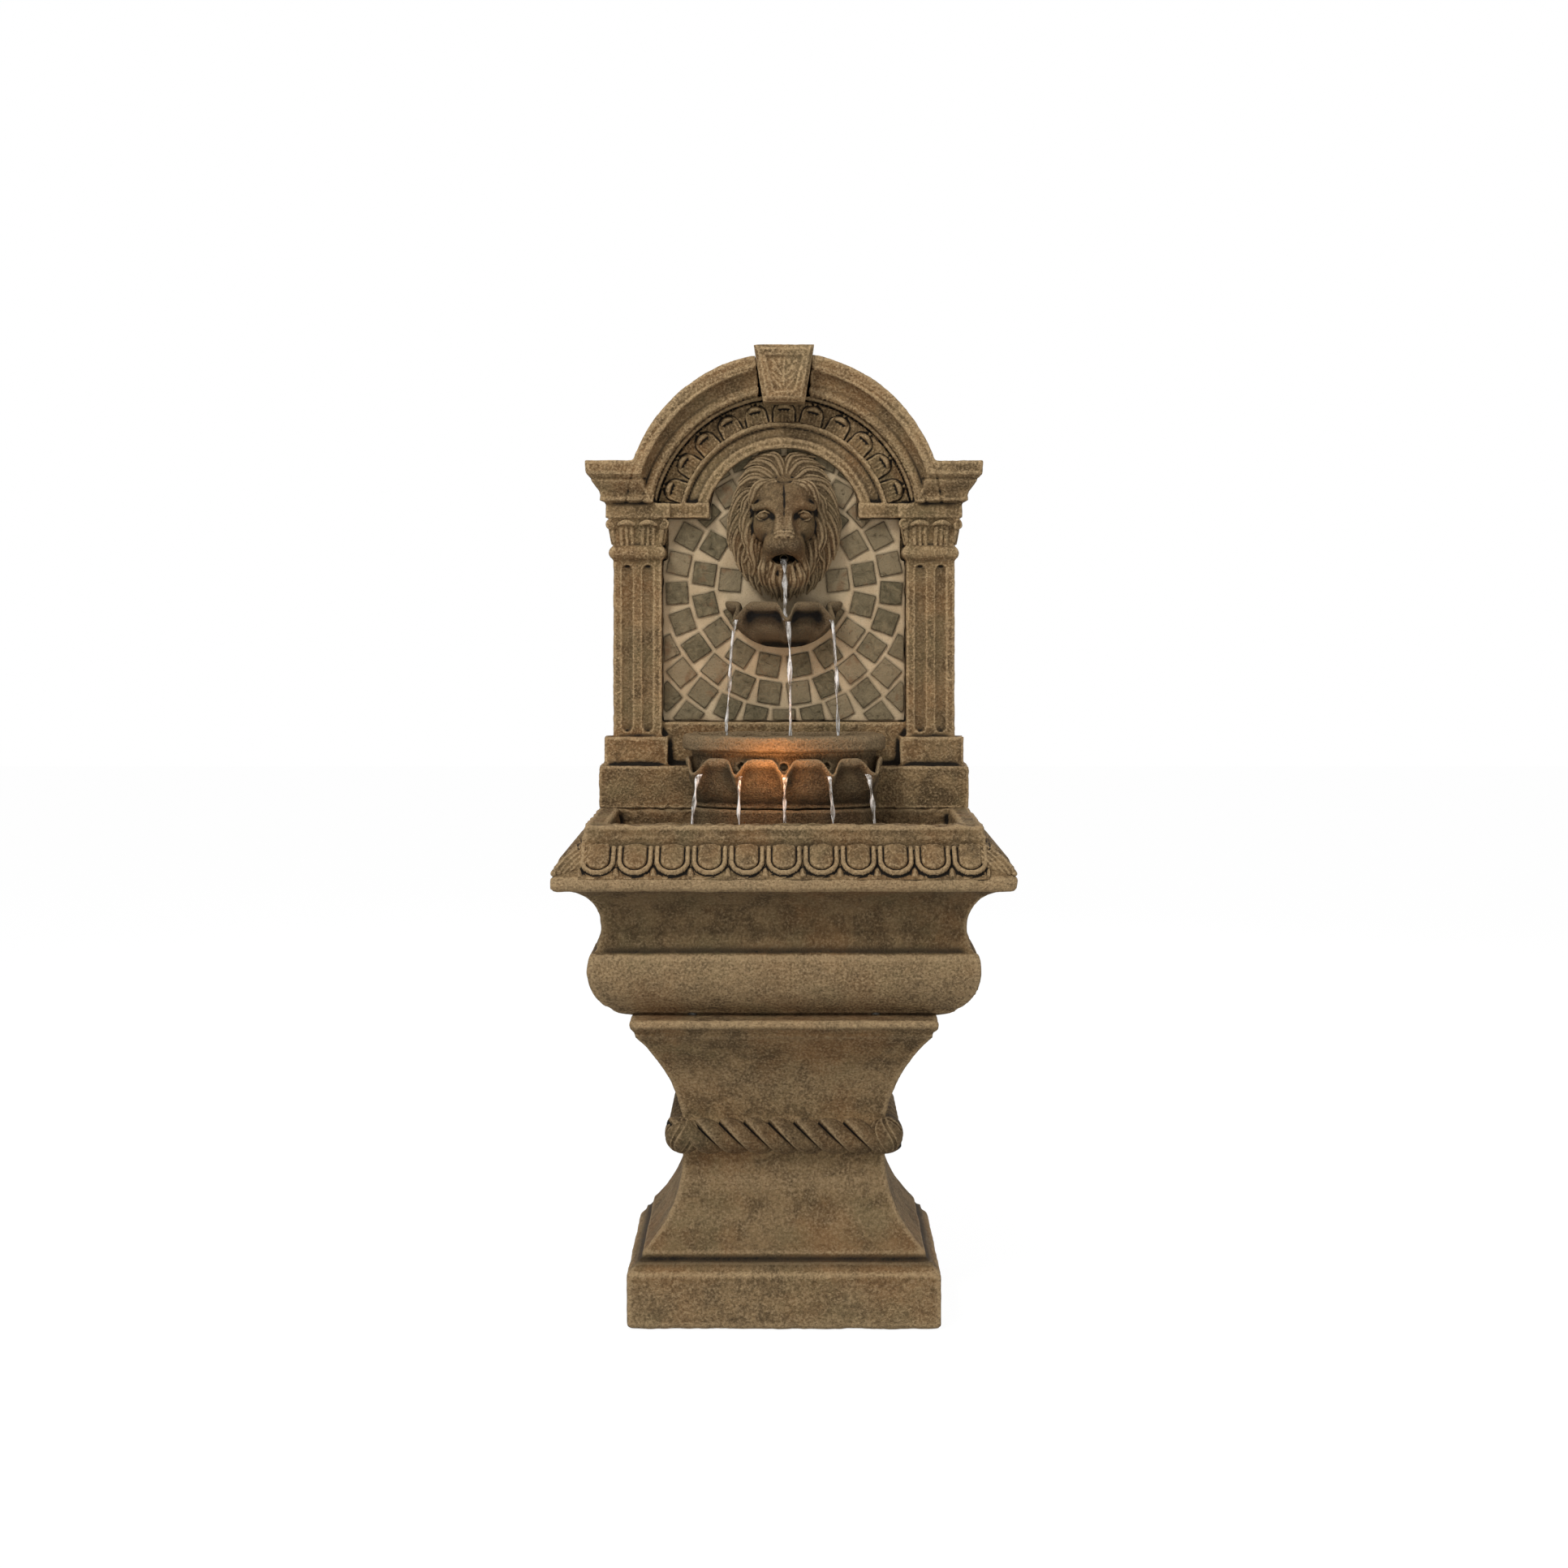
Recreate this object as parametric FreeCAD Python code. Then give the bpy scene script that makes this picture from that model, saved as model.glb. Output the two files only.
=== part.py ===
import FreeCAD, Part

import functools
import math
import os

from FreeCAD import Vector

# Lion-head floor fountain: a hollow pedestal carries a moulded trough, and an arched back panel with
# a lion mask and two spill bowls stands on the trough's rear deck.
# Millimetres, +Z up, front towards -Y, origin on the floor under the middle of the overall box.

# Overall plan sizes
basin_width = 596.9
basin_depth = 393.7
base_width = 406.4

# Pedestal, heights from the floor upwards, and how far each part stands in from the plinth face
pedestal_depth = 290.0
pedestal_setback = 32.0
pedestal_wall = 12.0
pedestal_deck = 16.0
plinth_height = 76.0
plinth_edge_round = 5.0
lower_step_height = 9.0
upper_step_height = 10.0
lower_step_inset = 10.0
upper_step_inset = 19.0
flare_height = 113.0
flare_sag = 13.5
neck_inset = 70.0
neck_band_height = 5.0
rope_height = 44.0
rope_bulge = 20.0
shaft_height = 12.0
shaft_taper = 3.0
cove_height = 107.0
cove_sag = 8.0
flange_fillet_height = 9.0
flange_height = 12.0
flange_fillet_inset = 10.0
flange_inset = 4.0
rope_groove_pitch = 31.5
rope_groove_width = 2.6
rope_groove_depth = 3.0
rope_groove_lean = 30.0

# Trough, heights from the pedestal upwards, and how far each part stands in from the lip
belly_height = 84.0
belly_inset = 46.0
belly_foot_inset = 95.0
belly_fullness = 6.0
shoulder_height = 28.0
throat_inset = 60.0
throat_height = 8.0
lip_cove_radius = 52.0
lip_height = 17.0
lip_round = 5.0
egg_band_height = 38.0
egg_band_run = 40.0
rim_band_height = 26.0
rim_width = 26.0
trough_floor = 40.0
trough_draft = 21.0
rear_wall = 14.0
dry_chamber_half_width = 226.0
dry_chamber_floor = 74.0

# Egg-and-dart carving on the trough's sloping band
egg_count_front = 11
egg_count_side = 7
egg_pitch = 47.8
egg_width = 42.0
egg_collar = 5.5
egg_collar_relief = 4.5
egg_dome_radius = 13.0
egg_dome_relief = 8.0
egg_foot_margin = 3.0
egg_side_start = 52.0
dart_width = 4.0
dart_relief = 3.5
corner_leaf_radius = 13.0

# Back panel, heights from the trough's rim upwards
lower_block_height = 58.0
upper_block_height = 40.0
pilaster_height = 249.0
astragal_height = 19.0
capital_height = 40.0
abacus_height = 21.0
cornice_height = 58.0
sill_height = 20.0
# How far the panel's parts stand out from the wall behind
panel_projection = 117.0
upper_block_projection = 105.0
pilaster_projection = 97.0
astragal_projection = 104.0
abacus_projection = 106.0
springer_projection = 94.0
sill_projection = 88.0
bed_projection = 72.0
bed_thickness = 6.0
panel_wall = 12.0
# Across the panel, measured from the middle
pilaster_inner = 172.0
pilaster_outer = 240.0
upper_block_inner = 163.0
upper_block_outer = 252.0
abacus_inner = 160.0
abacus_outer = 250.0
astragal_overhang = 6.0
capital_flare = 7.0
flute_radius = 7.0
flute_offset = 14.5
flute_end_margin = 14.0
# Cornice and arch mouldings
cornice_overhang = 27.0
cornice_fascia = 19.0
cornice_cove = 24.0
cornice_lower_overhang = 8.0
arch_radius = 222.0
arch_drop = 13.6
hood_fascia = 17.0
hood_cove = 17.0
hood_bead = 8.0
hood_groove = 6.0
ornament_band = 32.0
roll_width = 7.0
inner_cove_band = 15.0
inner_band = 15.0
groove_projection = 78.0
ornament_projection = 84.0
roll_projection = 95.0
inner_cove_projection = 88.0
inner_band_projection = 92.0
leaf_count = 11
leaf_span = 155.0
leaf_width = 21.0
leaf_relief = 9.0

# Keystone
keystone_rise = 10.0
keystone_height = 80.0
keystone_top_width = 84.0
keystone_foot_width = 58.0
keystone_projection = 146.0
keystone_bevel = 6.0
keystone_border = 9.0
keystone_recess = 3.0

# Mosaic of slate tiles laid in rings on the grout bed
tile_size = 32.0
tile_thickness = 3.0
tile_ring_step = 38.0
tile_ring_first = 76.0
tile_pitch_by_ring = (51.0, 43.6, 41.6, 41.2, 41.2)
tile_edge_margin = 2.0
tile_clearance = 0.6
tile_least_area = 90.0
fan_centre_above_sill = 192.0

# Lion mask, with its water way
mask_half_width = 75.0
mask_half_height = 103.0
mask_relief = 56.0
mask_centre_above_sill = 276.0
mouth_above_sill = 230.0
mask_projection = 94.0

# Upper spill bowl on the panel
upper_bowl_radius = 74.0
upper_bowl_height = 62.0
upper_bowl_rim_above_sill = 168.0
upper_bowl_wall = 8.0
bowl_foot_share = 0.32
bowl_side_share = 0.80
bowl_side_rise = 0.34
upper_spout_angle = 55.0
upper_spout_width = 20.0
upper_spout_reach = 16.0
upper_notch_depth = 15.0

# Lower tier: a bowed collector drum with a heavy lip, and the scalloped spill bowl round it
drum_half_width = 128.0
drum_front = 104.0
drum_corner_radius = 45.0
drum_bow_radius = 220.0
drum_wall = 10.0
drum_floor = 34.0
drum_lift = 6.0
drum_height = 99.0
drum_lip_height = 22.0
drum_lip_overhang = 13.0
drum_outlet_radius = 5.5
drum_outlet_drop = 42.0
spill_foot_gap = 1.0
spill_rim_reach = 21.0
spill_wall = 6.0
spill_height = 56.0
spill_foot_height = 3.0
spill_notch_depth = 17.0
spill_notch_width = 22.0
spill_spout_reach = 9.0
spill_positions = (-108.0, -58.0, 0.0, 58.0, 108.0)

# Pump cover in the trough, under the drum
cover_inset = 2.0
cover_wall = 10.0
cover_top_gap = 1.5
cover_slot_count = 7
cover_slot_width = 12.0
cover_slot_height = 34.0
running_gap = 0.3

# Submersible pump
pump_width = 54.0
pump_height = 48.0
pump_motor_depth = 32.0
pump_front_depth = 22.0
pump_back_gap = 6.0
pump_corner_radius = 8.0
pump_foot_height = 6.0
pump_foot_radius = 8.0
pump_face_wall = 8.0
rotor_radius = 12.0
rotor_length = 20.0
rotor_gap = 0.35
impeller_radius = 15.0
impeller_blade_count = 4
impeller_blade_thickness = 2.0
volute_radius = 18.5
pump_shaft_radius = 2.0
shaft_gap = 0.05
dial_radius = 9.0
dial_thickness = 5.0
dial_stem_radius = 3.0
strainer_slot_count = 7
strainer_slot_width = 2.6
nozzle_radius = 6.0
nozzle_bore = 4.5
nozzle_height = 24.0
nozzle_flange_radius = 9.0

# Riser hose, elbow and spout
hose_bore = 6.1
hose_radius = 8.0
hose_bend = 42.0
hose_wall_gap = 9.0
hose_pass_drop = 20.0
hose_pass_gap = 1.2
clamp_thickness = 1.4
clamp_width = 9.0
elbow_radius = 11.5
elbow_bend = 16.0
elbow_socket_depth = 22.0
spout_radius = 6.0
spout_bore = 5.0
spout_reach = 60.0
fit_gap = 0.15

# Drain at the back of the trough
drain_x = 150.0
drain_bore = 9.0
drain_above_floor = 13.0
drain_bush_radius = 14.0
drain_bush_bore = 10.2
drain_bush_length = 27.0
drain_plug_radius = 10.0
drain_flange_radius = 13.0
drain_flange_thickness = 2.5

# Underwater light at the front of the trough
light_x = -30.0
light_from_front = 114.0
light_radius = 16.0
light_length = 30.0
light_wall = 2.5
light_lens_thickness = 3.0
light_bezel_width = 3.0
light_led_radius = 9.0
light_tilt = 22.0
light_foot_radius = 15.0
light_foot_height = 9.0
light_pivot_rise = 34.0
bracket_thickness = 2.5
bracket_width = 12.0
bracket_side_gap = 1.0
pivot_screw_radius = 2.5
pivot_head_radius = 4.5
pivot_head_thickness = 2.5

# Rear cover, cord outlet and fasteners
rear_cover_thickness = 5.0
rear_cover_recess = 0.5
rear_cover_overlap = 9.0
rear_cover_margin = 9.0
cover_screw_radius = 1.6
cover_screw_head_radius = 3.2
cover_screw_length = 13.0
grommet_x = -150.0
grommet_drop = 26.0
grommet_bore = 4.5
grommet_radius = 9.0
grommet_flange_radius = 14.0
grommet_flange = 3.0
bolt_x = 204.0
bolt_radius = 4.0
bolt_hole_gap = 0.3
bolt_flange = 18.0
bolt_flange_width = 40.0
bolt_head_height = 5.3
bolt_across_flats = 13.0
washer_radius = 8.0
washer_thickness = 1.6
dowel_radius = 6.0
dowel_length = 26.0
dowel_x = 120.0
dowel_y = 92.0
dowel_gap = 0.2

# Levels and planes worked out from the sizes above
back_y = basin_depth / 2
front_y = -basin_depth / 2
plinth_front = front_y + pedestal_setback
plinth_back = plinth_front + pedestal_depth
step_z = plinth_height + lower_step_height
flare_z = step_z + upper_step_height
neck_z = flare_z + flare_height
rope_z = neck_z + neck_band_height
shaft_z = rope_z + rope_height
cove_z = shaft_z + shaft_height
flange_fillet_z = cove_z + cove_height
flange_z = flange_fillet_z + flange_fillet_height
pedestal_top = flange_z + flange_height
belly_z = pedestal_top + belly_height
throat_z = belly_z + shoulder_height
lip_cove_z = throat_z + throat_height
lip_z = lip_cove_z + lip_cove_radius
egg_z = lip_z + lip_height
rim_band_z = egg_z + egg_band_height
rim_z = rim_band_z + rim_band_height
floor_z = pedestal_top + trough_floor
rim_half_width = basin_width / 2 - egg_band_run
trough_half_width = rim_half_width - rim_width
trough_front = front_y + egg_band_run + rim_width
panel_front = back_y - panel_projection
trough_back = panel_front + 2.0
divider_back = trough_back + rear_wall
upper_block_z = rim_z + lower_block_height
pilaster_z = upper_block_z + upper_block_height
astragal_z = pilaster_z + pilaster_height
capital_z = astragal_z + astragal_height
abacus_z = capital_z + capital_height
cornice_z = abacus_z + abacus_height
cornice_top = cornice_z + cornice_height
sill_z = pilaster_z + sill_height
arch_z = cornice_z - arch_drop
bed_front = back_y - bed_projection
bed_back = bed_front + bed_thickness
hollow_front = bed_back + panel_wall
cover_seat = back_y - rear_cover_thickness - rear_cover_recess
keystone_seat = back_y - groove_projection
hood_inner = arch_radius - hood_fascia - hood_cove - hood_bead
ornament_outer = hood_inner - hood_groove
ornament_inner = ornament_outer - ornament_band
roll_inner = ornament_inner - roll_width
inner_cove_inner = roll_inner - inner_cove_band
arch_opening = inner_cove_inner - inner_band
springer_inner = arch_opening
mouth_z = sill_z + mouth_above_sill
mask_z = sill_z + mask_centre_above_sill
drum_z = rim_z + drum_lift
drum_top = drum_z + drum_height
drum_front_y = back_y - panel_projection - drum_front + 24.0
wall_front = back_y - sill_projection
pump_back = trough_back - pump_back_gap
pump_face = pump_back - pump_motor_depth
pump_front = pump_face - pump_front_depth
pump_axis_z = floor_z + pump_foot_height + pump_height / 2
pump_top = floor_z + pump_foot_height + pump_height
hose_y = pump_face - pump_front_depth / 3
hose_rise_y = hollow_front + hose_wall_gap + hose_radius
light_y = front_y + light_from_front
light_pivot_z = floor_z + light_foot_height + light_pivot_rise
overcut = 20.0


def box(x0, x1, y0, y1, z0, z1):
    return Part.makeBox(x1 - x0, y1 - y0, z1 - z0, Vector(x0, y0, z0))


def mirrored(shape):
    return shape.mirror(Vector(0, 0, 0), Vector(1, 0, 0))


def both_sides(shape):
    return [shape, mirrored(shape)]


def cylinder(radius, start, end):
    """Round bar between two points."""
    along = end - start
    return Part.makeCylinder(radius, along.Length, start, along)


def tube(outer, inner, start, end):
    return cylinder(outer, start, end).cut(cylinder(inner, start, end))


def edges_along(profile, place):
    """Edges through a profile: a point is a straight run, and a pair of points is an arc through the first."""
    edges = []
    last = place(*profile[0])
    for item in profile[1:]:
        if isinstance(item[0], tuple):
            middle, end = (place(*point) for point in item)
            edges.append(Part.Arc(last, middle, end).toShape())
        else:
            end = place(*item)
            edges.append(Part.makeLine(last, end))
        last = end
    return edges, last


def closed_face(edges):
    return Part.Face(Part.Wire(Part.__sortEdges__(edges)))


def moulded_block(profile, half_width, block_front, block_back):
    """Block with the same moulding on its front and two sides and a flat back.
    The profile runs upwards in (inset from the face, height)."""
    near = block_front - overcut
    right, right_top = edges_along(profile, lambda inset, z: Vector(half_width - inset, near, z))
    left, left_top = edges_along(profile, lambda inset, z: Vector(inset - half_width, near, z))
    right_foot = right[0].Vertexes[0].Point
    left_foot = left[0].Vertexes[0].Point
    cross = right + left + [Part.makeLine(left_foot, right_foot), Part.makeLine(left_top, right_top)]
    across = closed_face(cross).extrude(Vector(0, block_back - near, 0))
    side = -half_width - overcut
    front, front_top = edges_along(profile, lambda inset, z: Vector(side, block_front + inset, z))
    front_foot = front[0].Vertexes[0].Point
    back_foot = Vector(side, block_back, front_foot.z)
    back_top = Vector(side, block_back, front_top.z)
    run = [
        Part.makeLine(front_foot, back_foot),
        Part.makeLine(back_foot, back_top),
        Part.makeLine(back_top, front_top),
    ]
    along = closed_face(front + run).extrude(Vector(2 * half_width + 2 * overcut, 0, 0))
    return across.common(along)


def plate_outline(points, y):
    """Closed face in a plane of constant y, from points and arcs given in (x, z)."""
    edges, last = edges_along(points, lambda x, z: Vector(x, y, z))
    first = edges[0].Vertexes[0].Point
    if last.sub(first).Length > 1e-6:
        edges.append(Part.makeLine(last, first))
    return closed_face(edges)


def half_disc(radius, y0, y1, z_centre):
    """Upper half of a disc standing across the panel."""
    disc = Part.makeCylinder(radius, y1 - y0, Vector(0, y0, z_centre), Vector(0, 1, 0))
    return disc.common(box(-radius, radius, y0, y1, z_centre, z_centre + radius))


def ellipsoid(centre, across, deep, high):
    """Ellipsoid from its three half sizes."""
    ball = Part.makeSphere(1.0)
    scale = FreeCAD.Matrix()
    scale.scale(Vector(across, deep, high))
    ball = ball.transformGeometry(scale)
    ball.translate(centre)
    return ball


def bow_outline(offset, back):
    """Bowed plan outline of the lower tier, grown outwards by offset, as a wire at height zero."""
    corner = drum_corner_radius + offset
    bow = drum_bow_radius + offset
    corner_x = drum_half_width - drum_corner_radius
    bow_y = drum_front_y + drum_bow_radius
    corner_y = bow_y - math.sqrt((drum_bow_radius - drum_corner_radius) ** 2 - corner_x**2)
    lean = math.asin(corner_x / (drum_bow_radius - drum_corner_radius))
    half = (lean + math.pi / 2) / 2
    side = corner_x + corner

    def on_corner(angle, sign):
        return Vector(sign * (corner_x + corner * math.sin(angle)), corner_y - corner * math.cos(angle), 0)

    edges = []
    for sign in (1, -1):
        edges.append(Part.makeLine(Vector(sign * side, back, 0), Vector(sign * side, corner_y, 0)))
        arc = Part.Arc(on_corner(math.pi / 2, sign), on_corner(half, sign), on_corner(lean, sign))
        edges.append(arc.toShape())
    middle = Vector(0, bow_y - bow, 0)
    edges.append(Part.Arc(on_corner(lean, 1), middle, on_corner(lean, -1)).toShape())
    edges.append(Part.makeLine(Vector(-side, back, 0), Vector(side, back, 0)))
    return Part.Wire(Part.__sortEdges__(edges))


def bow_prism(offset, back, z0, z1):
    wire = bow_outline(offset, back)
    wire.translate(Vector(0, 0, z0))
    return Part.Face(wire).extrude(Vector(0, 0, z1 - z0))


def bow_point(x, offset):
    """Point on the bowed outline at a given x of the drum's face, with the outward direction there."""
    corner_x = drum_half_width - drum_corner_radius
    bow_y = drum_front_y + drum_bow_radius
    reach = drum_bow_radius - drum_corner_radius
    corner_y = bow_y - math.sqrt(reach**2 - corner_x**2)
    join_x = drum_bow_radius * corner_x / reach
    if abs(x) <= join_x:
        angle = math.asin(x / drum_bow_radius)
        centre, radius = Vector(0, bow_y, 0), drum_bow_radius
    else:
        angle = math.copysign(math.asin((abs(x) - corner_x) / drum_corner_radius), x)
        centre, radius = Vector(math.copysign(corner_x, x), corner_y, 0), drum_corner_radius
    out = Vector(math.sin(angle), -math.cos(angle), 0)
    return centre + out * (radius + offset), out


def hollowed_middle(start, end, sag):
    """Middle of a concave stretch of profile: the chord's own middle, moved inwards by the sag."""
    chord = Vector(end[0] - start[0], end[1] - start[1], 0)
    inwards = Vector(chord.y, -chord.x, 0).normalize()
    return (start[0] + end[0]) / 2 + inwards.x * sag, (start[1] + end[1]) / 2 + inwards.y * sag


def build_pedestal():
    rope_middle = rope_z + rope_height / 2
    flare_mid = hollowed_middle((upper_step_inset, flare_z), (neck_inset, neck_z), flare_sag)
    shaft_inset = neck_inset - shaft_taper
    cove_mid = hollowed_middle((shaft_inset, cove_z), (flange_fillet_inset, flange_fillet_z), cove_sag)
    profile = [
        (plinth_edge_round, 0),
        (0, plinth_edge_round),
        (0, plinth_height - plinth_edge_round),
        (plinth_edge_round, plinth_height),
        (lower_step_inset, plinth_height),
        (lower_step_inset, step_z),
        (upper_step_inset, step_z),
        (upper_step_inset, flare_z),
        (flare_mid, (neck_inset, neck_z)),
        (neck_inset, rope_z),
        ((neck_inset - rope_bulge, rope_middle), (neck_inset, shaft_z)),
        (shaft_inset, cove_z),
        (cove_mid, (flange_fillet_inset, flange_fillet_z)),
        (flange_fillet_inset, flange_z),
        (flange_inset, flange_z),
        (flange_inset, pedestal_top),
    ]
    body = moulded_block(profile, base_width / 2, plinth_front, plinth_back)
    wall = pedestal_wall
    inside = [
        (wall, -overcut),
        (wall, plinth_height - wall),
        (upper_step_inset + wall, flare_z - wall),
        (flare_mid[0] + wall, flare_mid[1]),
        (neck_inset + wall, neck_z),
        (neck_inset + wall, cove_z),
        (cove_mid[0] + wall, cove_mid[1]),
        (flange_fillet_inset + 2 * wall, pedestal_top - pedestal_deck),
    ]
    hollow = moulded_block(inside, base_width / 2, plinth_front, plinth_back - wall)
    body = body.cut(hollow)
    body = body.cut(Part.makeCompound(rope_grooves()))
    return body.cut(Part.makeCompound(dowel_holes(pedestal_top - dowel_length / 2, pedestal_top)))


def rope_grooves():
    """Leaning rings that part the roll under the shaft into the strands of a rope, front and sides."""
    roll = ((rope_height / 2) ** 2 + rope_bulge**2) / (2 * rope_bulge)
    axis_inset = neck_inset - rope_bulge + roll
    middle_z = rope_z + rope_height / 2
    lean = math.radians(rope_groove_lean)
    half = rope_groove_width / 2
    neck_x = base_width / 2 - neck_inset
    neck_y = plinth_front + neck_inset

    def ring(centre, along):
        start = centre - along * half
        end = centre + along * half
        return tube(roll + overcut, roll - rope_groove_depth, start, end)

    grooves = []
    zone = box(-base_width, base_width, plinth_front, neck_y, rope_z, shaft_z)
    count = int(neck_x / rope_groove_pitch)
    for k in range(-count, count + 1):
        centre = Vector(k * rope_groove_pitch, plinth_front + axis_inset, middle_z)
        grooves.append(ring(centre, Vector(math.cos(lean), 0, math.sin(lean))).common(zone))
    zone = box(neck_x, base_width / 2, plinth_front, plinth_back + 1, rope_z, shaft_z)
    count = int((plinth_back - neck_y) / rope_groove_pitch)
    for k in range(count):
        y = neck_y + (k + 0.5) * rope_groove_pitch
        centre = Vector(base_width / 2 - axis_inset, y, middle_z)
        groove = ring(centre, Vector(0, math.cos(lean), math.sin(lean))).common(zone)
        grooves += both_sides(groove)
    return grooves


def dowel_places():
    middle = (plinth_front + plinth_back) / 2
    return [(sx * dowel_x, middle + sy * dowel_y) for sx in (-1, 1) for sy in (-1, 1)]


def dowel_holes(z0, z1):
    radius = dowel_radius + dowel_gap
    return [cylinder(radius, Vector(x, y, z0), Vector(x, y, z1)) for x, y in dowel_places()]


def build_locating_dowels():
    half = dowel_length / 2 - dowel_gap
    return [
        cylinder(dowel_radius, Vector(x, y, pedestal_top - half), Vector(x, y, pedestal_top + half))
        for x, y in dowel_places()
    ]


def basin_profile():
    belly_mid = (belly_inset + belly_fullness, pedestal_top + belly_height * 0.36)
    bend = lip_cove_radius * math.sqrt(0.5)
    cove_mid = (throat_inset - lip_cove_radius + bend, lip_cove_z + bend)
    cove_end = throat_inset - lip_cove_radius
    return [
        (belly_foot_inset, pedestal_top),
        (belly_mid, (belly_inset, belly_z)),
        (throat_inset, throat_z),
        (throat_inset, lip_cove_z),
        (cove_mid, (cove_end, lip_z)),
        (lip_round, lip_z),
        (0, lip_z + lip_round),
        (0, egg_z),
        (egg_band_run, rim_band_z),
        (egg_band_run, rim_z),
    ]


@functools.lru_cache(maxsize=None)
def trough_casting():
    body = moulded_block(basin_profile(), basin_width / 2, front_y, back_y)
    trough = [(trough_draft, floor_z), (0, rim_z + overcut)]
    body = body.cut(moulded_block(trough, trough_half_width, trough_front, trough_back))
    chamber_back = back_y - rear_wall
    chamber = box(
        -dry_chamber_half_width,
        dry_chamber_half_width,
        divider_back,
        chamber_back,
        pedestal_top + dry_chamber_floor,
        rim_z + overcut,
    )
    flange = box(
        dry_chamber_half_width - bolt_flange_width,
        dry_chamber_half_width,
        divider_back,
        chamber_back,
        rim_z - bolt_flange,
        rim_z,
    )
    for side in both_sides(flange):
        chamber = chamber.cut(side)
    holes = dowel_holes(pedestal_top, pedestal_top + dowel_length / 2)
    holes += bolt_holes(rim_z - bolt_flange - overcut, rim_z)
    pass_z = rim_z - hose_pass_drop
    pass_radius = hose_radius + hose_pass_gap
    holes.append(cylinder(pass_radius, Vector(0, trough_back - 1, pass_z), Vector(0, divider_back + 1, pass_z)))
    holes += grommet_hole()
    drain_z = floor_z + drain_above_floor
    bush_start = back_y - drain_flange_thickness - 1.0 - drain_bush_length
    holes.append(cylinder(drain_bore, Vector(drain_x, trough_back - 1, drain_z), Vector(drain_x, back_y + 1, drain_z)))
    bush_radius = drain_bush_radius + fit_gap
    holes.append(cylinder(bush_radius, Vector(drain_x, bush_start, drain_z), Vector(drain_x, back_y + 1, drain_z)))
    body = body.cut(chamber)
    for hole in holes:
        body = body.cut(hole)
    return body.fuse(egg_and_dart()).removeSplitter()


def rear_slab():
    """Space of the slab that closes the dry chamber, over the whole back of the trough."""
    half = basin_width / 2 + overcut
    return box(-half, half, back_y - rear_wall, back_y + overcut, pedestal_top - overcut, rim_z + overcut)


def build_basin():
    return trough_casting().cut(rear_slab())


def build_basin_back():
    """Rear slab of the trough, with the cord outlet and the drain through it."""
    return trough_casting().common(rear_slab())


def band_place(shape, along, start, up):
    """Moves a carving drawn on its band, with x along the band, y up the slope and z outwards."""
    out = along.cross(up)
    shape = shape.copy()
    shape.Placement = FreeCAD.Placement(
        FreeCAD.Matrix(
            along.x, up.x, out.x, start.x,
            along.y, up.y, out.y, start.y,
            along.z, up.z, out.z, start.z,
            0, 0, 0, 1,
        )
    ).multiply(shape.Placement)
    return shape


def band_plate(points, low, high):
    edges, last = edges_along(points, lambda x, y: Vector(x, y, low))
    edges.append(Part.makeLine(last, edges[0].Vertexes[0].Point))
    return closed_face(edges).extrude(Vector(0, 0, high - low))


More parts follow.
